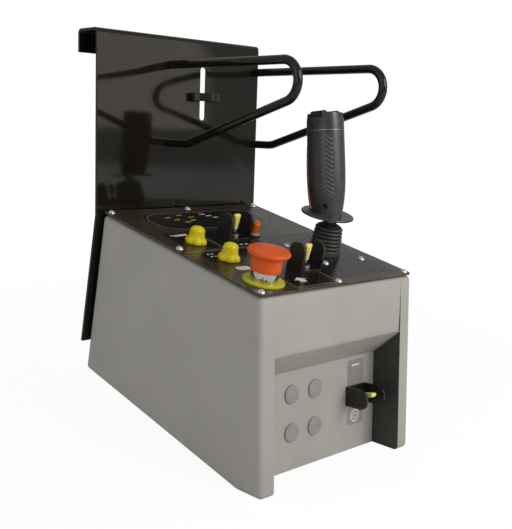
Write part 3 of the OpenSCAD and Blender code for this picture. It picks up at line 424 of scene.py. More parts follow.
def bellows_dust(tree, where, base):
    """Pale dust specks spread by noise over the bellows."""
    specks = spread(tree, noise(tree, where, 1.6, 4.0), 0.52, 0.75, 0.0, 0.35)
    return mixed(tree, specks, base, linear((0.40, 0.38, 0.34)))


def metal_flake(tree, where, base):
    """Fine brushing along X under the panel's film: noise drawn out 17 times along X."""
    local = add_node(tree, "ShaderNodeMapping", {"Vector": where, "Scale": (0.06, 1, 1)})
    brushed = spread(tree, noise(tree, local.outputs[0], 0.5, 2.0), 0.35, 0.65, 0.93, 1.07)
    return mixed(tree, 1.0, base, brushed, "MULTIPLY")


def make_finishes():
    """Every finish of the box by name."""
    look = colours()
    estop = on_panel(ESTOP)
    dark = (0.085, 0.082, 0.078)

    def ink(name, colour, shade):
        return finish(name, colour, 0.40, shade=shade, patch=9, grain=0.4, depth=0.003)

    return {
        "paint": finish(
            "bracket_paint", look.paint, 0.075, shade=0.16, patch=60, grain=1.2, depth=0.002,
            smudge=0.025, wear=((0.40, 0.38, 0.35), 0.5, 0.5), relief=orange_peel(0.010, 9),
            Specular_IOR_Level=0.36),
        # The housing's finish darkens the right cheek's inner side as painted shade.
        "moulding": finish(
            "housing_moulding", look.moulding, 0.52, shade=0.045, patch=55, grain=0.55,
            depth=0.035, smudge=0.07, dust=0.06, tint=cheek_painted_shade,
            wear=((0.80, 0.79, 0.77), 1.0, 0.35)),
        "film": finish(
            "panel_film", look.film, 0.26, metallic=0.35, shade=0.09, patch=28, grain=0.4,
            depth=0.004, smudge=0.05, tint=metal_flake, wear=((0.82, 0.80, 0.76), 0.45, 0.9),
            Specular_IOR_Level=0.3),
        "label": finish(
            "printed_fields", look.label, 0.24, shade=0.14, patch=30, grain=0.5, depth=0.004,
            smudge=0.06, Specular_IOR_Level=0.32),
        "outline": finish(
            "printed_lines", look.outline, 0.35, metallic=0.4, shade=0.15, patch=12, grain=0.4,
            depth=0.003),
        "pale": ink("printed_pale", look.pale, 0.08),
        "green": ink("printed_green", (0.66, 0.68, 0.22), 0.10),
        "red": ink("printed_red", (0.70, 0.20, 0.24), 0.10),
        "plate": finish(
            "label_plate", (0.540, 0.530, 0.510), 0.45, shade=0.10, patch=12, grain=0.4,
            depth=0.012),
        "rubber": finish(
            "black_rubber", look.rubber, 0.44, shade=0.18, patch=14, grain=0.5, depth=0.02,
            smudge=0.10, tint=bellows_dust),
        "seal": finish(
            "seal_rubber", (0.110, 0.105, 0.100), 0.55, shade=0.15, patch=14, grain=0.4,
            depth=0.02),
        "boot": finish(
            "boot_rubber", look.boot, 0.34, shade=0.09, patch=9, grain=0.5, depth=0.012,
            smudge=0.08, Specular_IOR_Level=0.35, Subsurface_Weight=0.2,
            Subsurface_Scale=0.004),
        "mushroom": finish(
            "stop_head_plastic", look.mushroom, 0.38, shade=0.07, patch=14, grain=0.5,
            depth=0.01, smudge=0.09, wear=((0.93, 0.60, 0.42), 0.7, 0.5),
            Specular_IOR_Level=0.3, Subsurface_Weight=0.08, Subsurface_Scale=0.003),
        "ring": finish(
            "legend_plastic", look.ring, 0.42, shade=0.08, patch=10, grain=0.5, depth=0.01),
        "chrome": finish(
            "turned_chrome", (0.78, 0.77, 0.75), 0.08, metallic=1.0, shade=0.06, patch=9,
            grain=0.6, depth=0.002, smudge=0.04, relief=turned_rings(estop, 0.7, 0.01)),
        "zinc": finish(
            "zinc_plate", (0.86, 0.85, 0.83), 0.30, metallic=0.85, shade=0.12, patch=4,
            grain=0.4, depth=0.006, smudge=0.08),
        # Pale nut finish: a painted highlight, so the nut in the disc's shadow shows as a bright
        # spot.
        "bright": finish(
            "nut_painted_highlight", (0.93, 0.92, 0.90), 0.30, metallic=0.3, shade=0.08, patch=4,
            grain=0.4, depth=0.004),
        "steel": finish(
            "ground_steel", (0.62, 0.61, 0.60), 0.30, metallic=1.0, shade=0.10, patch=7,
            grain=0.5, depth=0.006, smudge=0.08),
        "guard": finish(
            "guard_paint", dark, 0.32, shade=0.20, patch=10, grain=0.7, depth=0.012,
            smudge=0.08, wear=((0.66, 0.64, 0.60), 0.4, 0.8)),
        "black": finish(
            "black_plastic", dark, 0.42, shade=0.16, patch=12, grain=0.6, depth=0.02,
            smudge=0.08),
        "cap": finish(
            "cap_plastic", look.cap, 0.36, shade=0.06, patch=7, grain=0.5, depth=0.008,
            smudge=0.07, Subsurface_Weight=0.15, Subsurface_Scale=0.002),
        "amber": finish(
            "amber_lens", look.amber, 0.10, shade=0.08, patch=5, grain=1.2, depth=0.012,
            smudge=0.04, Transmission_Weight=0.2, IOR=1.49),
        "bezel": finish(
            "lamp_bezel_plastic", (0.86, 0.72, 0.66), 0.36, shade=0.06, patch=6, grain=0.5,
            depth=0.006),
        # The grip's finish paints a highlight onto the chevrons' tops.
        "grip": finish(
            "grip_plastic", look.grip, 0.30, shade=0.14, patch=16, grain=0.5, depth=0.010,
            smudge=0.06, wear=((0.42, 0.41, 0.40), 0.6, 0.35), relief=grip_relief,
            tint=grip_painted_highlight),
        "groove": finish(
            "groove_band", (0.62, 0.60, 0.57), 0.28, metallic=0.8, shade=0.12, patch=8,
            grain=0.4, depth=0.004),
        "disc": finish(
            "disc_plastic", (0.235, 0.228, 0.220), 0.30, shade=0.14, patch=12, grain=0.6,
            depth=0.010, smudge=0.08),
        "trigger": finish(
            "trigger_plastic", look.trigger, 0.38, shade=0.08, patch=9, grain=0.5,
            depth=0.010, wear=((0.86, 0.45, 0.36), 0.5, 0.4)),
        "plug": finish(
            "plug_plastic", (0.560, 0.550, 0.530), 0.48, shade=0.07, patch=9, grain=0.6,
            depth=0.02),
        "board": finish(
            "board_lacquer", (0.10, 0.33, 0.20), 0.35, shade=0.12, patch=8, grain=0.8,
            depth=0.01),
    }


FINISHES = {}


def coat(piece, finish_name):
    """Gives a piece, or a CAD node that stays, one of the box's finishes."""
    if not FINISHES:
        FINISHES.update(make_finishes())
    made = FINISHES[finish_name]
    if piece.material_slots:
        for place in piece.material_slots:
            place.material = made
    else:
        piece.data.materials.append(made)


def coat_nodes(finish_name, *nodes):
    """Gives CAD nodes whose shape is right a finish."""
    for node in nodes:
        coat(frame["nodes"][node], finish_name)


def welded(name, points, faces, last_step):
    """A mesh whose points on one another are merged, and then goes through last_step."""
    mesh = bpy.data.meshes.new(name)
    mesh.from_pydata(np.asarray(points).tolist(), [], faces)
    work = bmesh.new()
    work.from_mesh(mesh)
    bmesh.ops.remove_doubles(work, verts=work.verts, dist=0.002 * MM)
    last_step(work)
    work.to_mesh(mesh)
    work.free()
    return mesh


def stand(name, data):
    """Puts a mesh, a light or a camera into the scene as an object."""
    made = bpy.data.objects.new(name, data)
    bpy.context.scene.collection.objects.link(made)
    return made


def make_piece(name, points, faces, finish_name, body, stands_for=(), sharp=35):
    """Makes a closed piece from points in metres and faces, and puts it on its body.

    Points on one another are merged, faces are turned outwards, and edges that bend by
    more than sharp degrees are shaded as edges."""
    mesh = welded(
        name, points, [list(map(int, face)) for face in faces],
        lambda work: bmesh.ops.recalc_face_normals(work, faces=work.faces))
    return finish_piece(name, mesh, finish_name, body, stands_for, sharp)


def finish_piece(name, mesh, finish_name, body, stands_for, sharp):
    """Links a mesh into the scene with its shading, finish and body."""
    mesh.shade_smooth()
    mesh.set_sharp_from_angle(angle=radians(sharp))
    piece = stand(name, mesh)
    coat(piece, finish_name)
    if stands_for:
        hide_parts(*stands_for)
    if body:
        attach(piece, body)
    return piece


def dress(node, finish_name, edge=None, segments=2, sharp=32):
    """Stands a copy of a CAD node in its place, with its edges rounded by edge metres, or
    as sheet metal's are.

    The copy's triangles are merged into whole faces before a bevel rounds what is left."""
    source = frame["nodes"][node].data
    points = np.empty(len(source.vertices) * 3)
    source.vertices.foreach_get("co", points)
    corners = np.empty(len(source.loops), dtype=int)
    source.loops.foreach_get("vertex_index", corners)
    mesh = welded(
        node + "_dressed", points.reshape(-1, 3), corners.reshape(-1, 3).tolist(),
        lambda work: bmesh.ops.dissolve_limit(
            work, angle_limit=radians(0.4), verts=work.verts, edges=work.edges))
    piece = finish_piece(
        node + "_dressed", mesh, finish_name, BODY_OF[node], (node,), sharp)
    bevel = piece.modifiers.new("Rounded Edges", "BEVEL")
    bevel.width = edge or sizes().edge
    bevel.segments = segments
    bevel.limit_method = "ANGLE"
    bevel.angle_limit = radians(sharp)
    bevel.harden_normals = True
    return piece


def net_faces(rows, columns, around=False):
    """Four-cornered faces of a net of points whose rows run right round. With around, the
    last row joins the first, as on a ring."""
    last = rows if around else rows - 1
    row, column = np.meshgrid(np.arange(last), np.arange(columns), indexing="ij")
    ahead = (column + 1) % columns
    above = (row + 1) % rows
    corners = [row * columns + column, row * columns + ahead,
               above * columns + ahead, above * columns + column]
    return np.stack(corners, axis=-1).reshape(-1, 4)


def turned(profile, columns, swell=None):
    """A profile of (radius, height) pairs carried round Z: x = r cos a, y = r sin a.

    swell, a function of the radius, the height and the angle a, gives the radius and the
    height that stand there instead."""
    radius, height = np.asarray(profile, dtype=float).T
    angle = np.linspace(0, 2 * pi, columns, endpoint=False)
    r, a = np.meshgrid(radius, angle, indexing="ij")
    h = np.repeat(height[:, None], columns, axis=1)
    if swell:
        r, h = swell(r, h, a)
    return np.stack([r * np.cos(a), r * np.sin(a), h], axis=-1).reshape(-1, 3)


def make_turned(
    name, profile, place, columns, swell, finish_name, body, stands_for, sharp,
    around=False,
):
    """Makes a piece turned about a frame's Z. With around, its profile closes on itself."""
    points = placed(turned(profile, columns, swell), place)
    faces = net_faces(len(profile), columns, around)
    return make_piece(name, points, faces, finish_name, body, stands_for, sharp)


def superellipse(columns, power):
    """X and Y round a curve on which |x| to the power plus |y| to the power is 1."""
    angle = np.linspace(0, 2 * pi, columns, endpoint=False)
    waves = (np.cos(angle), np.sin(angle))
    return [np.sign(wave) * np.abs(wave) ** (2 / power) for wave in waves]


def copies(points, faces, places):
    """The same shape at several places, as one list of points and one of faces."""
    count = len(points)
    all_points = np.concatenate([placed(points, place) for place in places])
    all_faces = [list(np.asarray(face) + i * count) for i in range(len(places)) for face in faces]
    return all_points, all_faces


def arc(centre, radius, start, end, steps):
    """Points of an arc as (radius, height) pairs; the angles are in degrees from +r."""
    angle = np.radians(np.linspace(start, end, steps))
    return [(centre[0] + radius * cos(a), centre[1] + radius * sin(a)) for a in angle]


def round_outline(middle, width, height, radius, steps=10):
    """Outline of a rounded rectangle: four quarter circles, counter-clockwise."""
    corner = np.linspace(0, pi / 2, steps)
    reach = np.array([width / 2 - radius, height / 2 - radius])
    parts = []
    for i, side in enumerate(((1, 1), (-1, 1), (-1, -1), (1, -1))):
        turn = corner + i * pi / 2
        parts.append(np.array(side) * reach + radius * np.stack([np.cos(turn), np.sin(turn)], -1))
    return np.concatenate(parts) + np.asarray(middle, dtype=float)


def sheet_shape(outline, low, high, hole=None):
    """A flat closed shape between two heights. With a hole, whose outline has as many
    points as the outer one, it is a flat ring of quads."""
    outline = np.asarray(outline, dtype=float)
    count = len(outline)
    rings = [outline] if hole is None else [outline, np.asarray(hole, dtype=float)]
    points = np.concatenate(
        [np.column_stack([ring, np.full(count, z)]) for ring in rings for z in (low, high)])
    if hole is None:
        faces = [list(range(count))[::-1], list(range(count, 2 * count))]
        faces += net_faces(2, count).tolist()
        return points, faces
    order = np.array([0, 1, 3, 2])
    faces = net_faces(4, count, around=True)
    return points, (order[faces // count] * count + faces % count).tolist()


def printed(name, shapes, finish_name, layer, place):
    """One colour of print: flat shapes laid over one another by layer, on one surface."""
    low = (layer - 1) * sizes().print_height / MM
    high = layer * sizes().print_height / MM
    points, faces, count = [], [], 0
    for shape in shapes:
        outline, hole = shape if isinstance(shape, tuple) else (shape, None)
        new_points, new_faces = sheet_shape(outline, low, high, hole)
        faces += [[corner + count for corner in face] for face in new_faces]
        points.append(new_points)
        count += len(new_points)
    return make_piece(
        name, placed(np.concatenate(points), place), faces, finish_name, "control_box",
        sharp=50)


def down_panel(outline):
    """An outline given as (across, down from the rear edge), in the panel's own X and Y."""
    return np.asarray(outline, dtype=float) * (1, -1)


def field(left, near, right, far, radius):
    """A rounded field of the panel between two rows and two columns, all from its rear edge."""
    middle = ((left + right) / 2, -(near + far) / 2)
    return round_outline(middle, right - left, far - near, radius)


def framed(left, near, right, far, radius, width):
    """A thin line round a field, as an outline with a hole."""
    inner = field(left + width, near + width, right - width, far - width, radius - width)
    return field(left, near, right, far, radius), inner


class CONTROLBOX_OT_bracket(bpy.types.Operator):
    """Dress the bent bracket, and paint the hoops and the strap loop"""

    bl_idname = "controlbox.bracket"
    bl_label = "Bracket and Hoops"

    def execute(self, context):
        dress("mounting_bracket", "paint")
        dress("strap_loop", "paint")
        coat_nodes("paint", "left_hoop_guard", "right_hoop_guard")
        coat_nodes("zinc", "bracket_bolts")
        return {"FINISHED"}


class CONTROLBOX_OT_housing(bpy.types.Operator):
    """Dress the housing with softened edges, and its plugs and gland"""

    bl_idname = "controlbox.housing"
    bl_label = "Housing"

    def execute(self, context):
        dress("housing", "moulding", sizes().moulded_edge, segments=3)
        dress("cable_gland", "black")
        dress("gland_nut", "black")
        coat_nodes("seal", "panel_gasket")
        coat_nodes("plug", "blanking_plugs")
        return {"FINISHED"}


class CONTROLBOX_OT_panel(bpy.types.Operator):
    """Dress the panel and lay its print on it"""

    bl_idname = "controlbox.panel"
    bl_label = "Panel"

    def execute(self, context):
        dress("control_panel", "film", sizes().edge * 0.75)
        line = sizes().line / MM
        place = on_panel((0, 0))
        fields = [
            field(-81, 14, 83, 74, 29.9),
            field(-92, 80, -54, 128, 4),
            field(-92, 138, -54, 186, 4),
            field(-49, 79, 8, 130, 4),
            field(-49, 138, -6, 180, 4),
            field(-55, 184, -3, 238, 3),
            field(2, 108, 92, 233, 4),
        ]
        printed("panel_dark_fields", fields, "label", 1, place)
        lines = [
            framed(-78, 17, 80, 71, 26.9, line),
            field(-104, 133, -24, 133 + line, line / 2.2),
            field(-51.6, 96, -51.6 + line, 134, line / 2.2),
            field(12, 104, 106, 104 + line, line / 2.2),
            framed(-58, 181, 0, 241, 5, line * 0.7),
        ]
        printed("panel_lines", lines, "outline", 2, place)
        printed("panel_pale_marks", self.pale_marks(), "pale", 3, place)
        green = ((-28, 26), (-17, 34), (-48, 32), (-41, 40), (-33, 49), (-22, 44))
        printed("panel_green_marks", self.slanted_marks(green), "green", 3, place)
        printed("panel_red_marks", self.slanted_marks(((1, 18), (5, 22))), "red", 3, place)
        return {"FINISHED"}

    def pale_marks(self):
        """Plain bars, an arrow and an oval beside the controls."""
        bar = down_panel([(-87, 86), (-65, 84), (-65, 88), (-80, 90)])
        arrow = down_panel([(-46, 225), (-38, 219), (-30, 225), (-34, 225), (-34, 230),
                            (-42, 230), (-42, 225)])
        oval = round_outline((-74, -184), 17, 9, 4.4)
        small = [field(-85 + 5 * i, 142 + 6 * j, -82 + 5 * i, 144.5 + 6 * j, 1.1)
                 for i in range(2) for j in range(2)]
        small += [field(-40 + 7 * i, 124, -36 + 7 * i, 126.5, 1.1) for i in range(4)]
        slanted = self.slanted_marks(((4, 27), (9, 33), (14, 39), (18, 46), (22, 53), (6, 58)))
        return [bar[::-1], arrow[::-1], oval, *small, *slanted]

    def slanted_marks(self, places):
        """Short bars that lean to the right, as slanted rectangles."""
        shape = np.array([(-4.5, -1.3), (3.0, -1.3), (4.5, 1.3), (-3.0, 1.3)])
        return [shape + (x, -v) for x, v in places]


class CONTROLBOX_OT_screws(bpy.types.Operator):
    """Make the dome headed screws of the panel and of the joystick"""

    bl_idname = "controlbox.screws"
    bl_label = "Screws"

    def execute(self, context):
        middle = PANEL_SIZE[0] / 2 - SCREW_INSET
        rows = (SCREW_INSET, PANEL_SIZE[1] / 2, PANEL_SIZE[1] - SCREW_INSET)
        edge = [(x, v) for x in (-middle, 0, middle) for v in rows
                if not (x == 0 and v == rows[1])]
        reach = (-STICK_SCREW_REACH, STICK_SCREW_REACH)
        stick = [(JOYSTICK[0] + x, JOYSTICK[1] + v) for x in reach for v in reach]
        self.screws("panel_screw_set", edge, length=18.5, node="panel_screws")
        self.screws("stick_screw_set", stick, length=8, node="joystick_screws")
        return {"FINISHED"}

    def screws(self, name, places, length, node):
        """Screws of one length. Each is turned another way, as driven screws are."""
        points, faces = self.screw(length)
        frames = [on_panel(place) @ Matrix.Rotation(0.9 * i, 4, "Z")
                  for i, place in enumerate(places)]
        points, faces = copies(points, faces, frames)
        make_piece(name, points, faces, "zinc", "control_box", (node,))

    def screw(self, length):
        """A dome, z = top - r squared / (2 R), sunk by a cross: the sink grows where either
        |x| or |y| is under half the cross's width and r is under its reach."""
        head, top, shank, columns = 4.0, 2.6, 1.98, 56
        dome = (head**2 + top**2) / (2 * top)
        rings = np.concatenate([np.linspace(0, 2.3, 15), np.linspace(2.5, head - 0.15, 8)])
        profile = [(r, top - dome + np.sqrt(dome**2 - r**2)) for r in rings]
        profile += [(head, 0.35), (head, 0.0), (shank, 0.0), (shank, 0.4 - length)]
        profile += [(shank - 0.4, -length), (0, -length)]

        def cross(r, h, a):
            x, y = np.abs(r * np.cos(a)), np.abs(r * np.sin(a))
            arm = np.clip((0.55 - np.minimum(x, y)) / 0.18, 0, 1)
            inside = np.clip((2.05 - r) / 0.3, 0, 1)
            return r, np.where(h > 0.4, h - 1.1 * arm * inside, h)

        return turned(profile, columns, cross), net_faces(len(profile), columns)


class CONTROLBOX_OT_estop(bpy.types.Operator):
    """Make the emergency stop's head, and finish its collar and ring"""

    bl_idname = "controlbox.estop"
    bl_label = "Emergency Stop"

    def execute(self, context):
        profile = [(0, 26.05), (6.05, 26.05), (6.05, 16.4), (13.4, 16.4), (13.4, 11.0)]
        profile += arc((14.0, 11.4), 0.4, -90, 0, 4)
        profile += [(14.45, 16), (14.5, 22.4)]
        profile += arc((15.9, 22.6), 1.4, 180, 105, 6)[1:]
        profile += [(17.0, 25.3), (18.2, 26.0)]
        profile += arc((17.7, 28.6), 2.3, -62, 88, 14)
        profile += [(17.0 * s, 31.05 + 2.55 * (1 - s**2) ** 1.2) for s in np.linspace(0.97, 0, 16)]
        make_turned(
            "estop_mushroom", profile, on_panel(ESTOP), 112, self.turning_marks, "mushroom",
            "estop_knob", ("estop_head",), sharp=50)
        dress("estop_bezel", "chrome")
        dress("estop_legend_ring", "ring")
        coat_nodes("steel", "estop_plunger")
        coat_nodes("black", "estop_locknut", "estop_contacts")
        return {"FINISHED"}

    def turning_marks(self, r, h, a):
        """Three shallow curved grooves in the crown that show which way the head turns:
        the surface sinks where r lies in a band and a in one of three spans."""
        band = np.clip(1 - np.abs(r - 10.5) / 1.7, 0, 1)
        turn = (a * 3 / (2 * pi)) % 1
        span = np.clip((turn - 0.12) / 0.06, 0, 1) * np.clip((0.72 - turn) / 0.06, 0, 1)
        crown = (h > 31.2) & (r > 5)
        return r, np.where(crown, h - 0.35 * band**0.5 * span, h)


class CONTROLBOX_OT_buttons(bpy.types.Operator):
    """Make the two lobed rubber boots of the push buttons"""

    bl_idname = "controlbox.buttons"
    bl_label = "Push Buttons"

    def execute(self, context):
        for name, place in (("rear_button", REAR_BUTTON), ("front_button", FRONT_BUTTON)):
            self.boot(name, place)
            coat_nodes("black", name + "_plunger")
            coat_nodes("steel", name + "_switch")
        return {"FINISHED"}

    def boot(self, name, place):
        """A bell carried round its axis, with its foot swollen into lobes."""
        outside = [(9.7, 0.0), (10.4, 0.3), (10.6, 1.2), (10.5, 2.6), (10.1, 3.9), (9.2, 5.0),
                   (8.5, 5.9), (8.0, 7.0), (7.75, 8.5), (7.6, 10.0), (7.4, 11.2)]
        outside += arc((2.6, 12.1), 4.8, 3, 78, 12)
        outside += [(2.6, 17.05), (1.3, 17.38), (0, 17.5)]
        inside = [(0, 16.2), (4.8, 16.2), (4.8, 4.6), (5.95, 4.4), (5.95, 0.0)]
        piece = make_turned(
            name + "_bell", outside + inside, on_panel(place), 90, self.lobes, "boot", None,
            (name + "_boot",), sharp=60, around=True)
        tuple(on_panel(place, 5).translation)
        tuple(on_panel(place, 15).translation)
        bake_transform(piece)

    def lobes(self, r, h, a):
        """Radius plus a bulge of |cos(lobes * a / 2)| that fades out above the foot, and
        faint upright ribs on the body."""
        lobes, swelling = sizes().lobes, 1.6
        bulge = np.abs(np.cos(a * lobes / 2)) ** 0.7 - 0.62
        foot = np.clip((7.0 - h) / 2.6, 0, 1) * (r > 7)
        ribs = 0.10 * np.cos(a * lobes * 2) * np.clip((h - 7) / 2, 0, 1) * (r > 6)
        return r + bulge * foot * swelling + ribs, h


class CONTROLBOX_OT_lamp(bpy.types.Operator):
    """Make the lamp's ribbed lens and finish its ring and seal"""

    bl_idname = "controlbox.lamp"
    bl_label = "Lamp"

    def execute(self, context):
        foot = 3.5
        profile = [(0, foot), (5.2, foot), (5.2, foot + 7.4)]
        profile += arc((0, foot + 7.8), 5.2, 0, 90, 16)
        make_turned(
            "lamp_dome", profile, on_panel(LAMP), 80, self.prisms, "amber", "control_box",
            ("lamp_lens",), sharp=50)
        dress("lamp_bezel", "bezel")
        coat_nodes("seal", "lamp_seal")
        coat_nodes("steel", "lamp_holder")
        return {"FINISHED"}

    def prisms(self, r, h, a):
        """Upright prisms in the lens: the radius dips by a cosine of twenty angles."""
        prisms, depth = 20, 0.12
        side = np.clip((13.0 - h) / 1.5, 0, 1) * (r > 5)
        return r - depth * (1 - np.cos(prisms * a)) * side, h


class CONTROLBOX_OT_toggles(bpy.types.Operator):
    """Make the toggles' caps and dress their guards"""

    bl_idname = "controlbox.toggles"
    bl_label = "Toggle Switches"

    def execute(self, context):
        places = {
            "rear_toggle": on_panel(REAR_TOGGLE, TOGGLE_PIVOT),
            "front_toggle": on_panel(FRONT_TOGGLE, TOGGLE_PIVOT),
            "face_toggle": on_face(FACE_TOGGLE_X, 0, TOGGLE_PIVOT)
            @ Matrix.Rotation(-FACE_TOGGLE_LEAN, 4, "X"),
        }
        for name, place in places.items():
            self.cap(name, place)
            dress(name + "_guard", "guard")
            dress(name + "_nut", "zinc", sizes().edge * 0.6)
            coat_nodes("zinc", name + "_lever")
            coat_nodes("black", name + "_switch")
        return {"FINISHED"}

    def cap(self, name, place):
        """A flat cap that widens upwards: ovals whose half width goes from 2.2 to 4.5 mm,
        and whose half thickness goes from 2.2 to 2.5 mm, closed over a rounded top."""
        columns, low, length = 48, 6, 15.95
        shoulder, dome = 0.84, 0.16
        rounding = np.sin(np.linspace(0.15, pi / 2, 9))
        up = np.concatenate([np.linspace(0, shoulder, 12), shoulder + dome * rounding])
        top = np.sqrt(np.clip(1 - ((up - shoulder) / dome).clip(0, 1) ** 2, 0, 1))
        wide = (2.2 + 2.25 * np.clip(up / 0.9, 0, 1) ** 1.15) * (0.55 + 0.45 * top)
        wide[-1] = 0
        thick = (2.2 + 0.28 * up) * top
        across, through = superellipse(columns, 2.5)
        rows = np.stack([
            wide[:, None] * across, thick[:, None] * through,
            np.repeat(low + length * up[:, None], columns, axis=1)], axis=-1)
        foot = np.zeros((1, columns, 3))
        foot[..., 2] = low
        points = np.concatenate([foot, rows]).reshape(-1, 3)
        make_piece(
            name + "_paddle", placed(points, place), net_faces(len(rows) + 1, columns), "cap",
            BODY_OF[name + "_cap"], (name + "_cap",), sharp=50)


class CONTROLBOX_OT_joystick(bpy.types.Operator):
    """Make the ribbed bellows and finish the shaft, its nut and the disc"""

    bl_idname = "controlbox.joystick"
    bl_label = "Joystick"

    def execute(self, context):
        self.bellows()
        # The nut's pale finish is a painted highlight.
        dress("shaft_nut", "bright")
        coat_nodes("disc", "hand_disc")
        coat_nodes("steel", "joystick_shaft", "joystick_pivot_pin")
        coat_nodes("black", "joystick_base")
        return {"FINISHED"}

    def bellows(self):
        """A collar, then ribs whose radius is the cone's plus a rounded wave, then a
        shoulder that closes on the shaft; the wall inside follows the ribs."""
        rib_points, rib_depth, wall = 14, 2.1, 1.2
        steps = np.linspace(0, 1, 1 + rib_points * sizes().ribs)
        cone = 17.0 - 2.7 * steps
        wave = np.abs(np.sin(pi * steps * sizes().ribs)) ** 0.65
        height = 6.2 + 22.8 * steps
        radius = cone - rib_depth * (1 - wave)
        ribs = np.column_stack([radius, height])
        collar = [(17.0, 0.0), (17.0, 4.6), (16.7, 5.3), (15.4, 5.8)]
        shoulder = [(12.6, 29.6), (11.2, 30.3), (10.2, 30.4), (9.9, 31.0), (8.6, 31.7),
                    (7.2, 32.3), (6.6, 33.0), (6.3, 33.8), (5.6, 34.0), (4.06, 34.0),
                    (4.06, 32.2)]
        inner = np.column_stack([radius - wall, height])[::-1]
        profile = [*collar, *map(tuple, ribs), *shoulder, *map(tuple, inner), (15.6, 0.0)]
        piece = make_turned(
            "stick_bellows", profile, on_panel(JOYSTICK), 96, None, "rubber", None,
            ("joystick_bellows",), sharp=60, around=True)
        tuple(on_panel(JOYSTICK, 5).translation)
        tuple(on_panel(JOYSTICK, 32).translation)
        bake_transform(piece)


class CONTROLBOX_OT_grip(bpy.types.Operator):
    """Dress the grip's halves, cap, rocker and trigger, and lay the bright band in its groove"""

    bl_idname = "controlbox.grip"
    bl_label = "Grip"

    def execute(self, context):
        for half in ("grip_left_half", "grip_right_half"):
            dress(half, "grip", sharp=38)
        dress("grip_cap", "grip", sizes().edge * 2.4, segments=3, sharp=38)
        dress("thumb_rocker", "black", sizes().edge * 1.2, segments=3)
        dress("grip_trigger", "trigger", sizes().edge * 2, segments=3)
        coat_nodes("black", "grip_screw")
        coat_nodes("steel", "rocker_pin", "trigger_pin")
        self.groove_band()
        return {"FINISHED"}

    def groove_band(self):
        """A thin bright band in the groove between the grip and its cap: a superellipse,
        |x / a| to the power 2.3 plus |y / b| to the power 2.3 is 1, in four rows."""
        columns = 96
        x, y = superellipse(columns, 2.3)
        rows = [(0.55, 84.1), (0.15, 84.1), (0.15, 84.7), (0.55, 84.7)]
        points = np.concatenate([
            np.column_stack([(GRIP_TOP[0] - inset) * x, (GRIP_TOP[1] - inset) * y,
                             np.full(columns, height)]) for inset, height in rows])
        faces = net_faces(len(rows), columns, around=True)
        make_piece(
            "grip_groove_band", placed(points, at_grip()), faces, "groove", "joystick",
            sharp=50)


class CONTROLBOX_OT_face_label(bpy.types.Operator):
    """Lay the grey label plate and its marks behind the face toggle"""

    bl_idname = "controlbox.face_label"
    bl_label = "Face Label"

    def execute(self, context):
        place = on_face(FACE_TOGGLE_X, 0)
        printed("face_plate", [round_outline((0, 2.5), 25, 69, 3)], "plate", 2, place)
        ring = (round_outline((0, -23), 13, 13, 6.4), round_outline((0, -23), 10.6, 10.6, 5.2))
        small = (round_outline((0, -23), 6.4, 6.4, 3.1), round_outline((0, -23), 4.4, 4.4, 2.1))
        bar = round_outline((0, 31), 12, 1.8, 0.8)
        printed("face_marks", [ring, small, bar], "pale", 3, place)
        return {"FINISHED"}


class CONTROLBOX_OT_inside(bpy.types.Operator):
    """Finish the circuit board and its screws"""

    bl_idname = "controlbox.inside"
    bl_label = "Inside"

    def execute(self, context):
        coat_nodes("board", "circuit_board")
        coat_nodes("zinc", "board_screws")
        return {"FINISHED"}


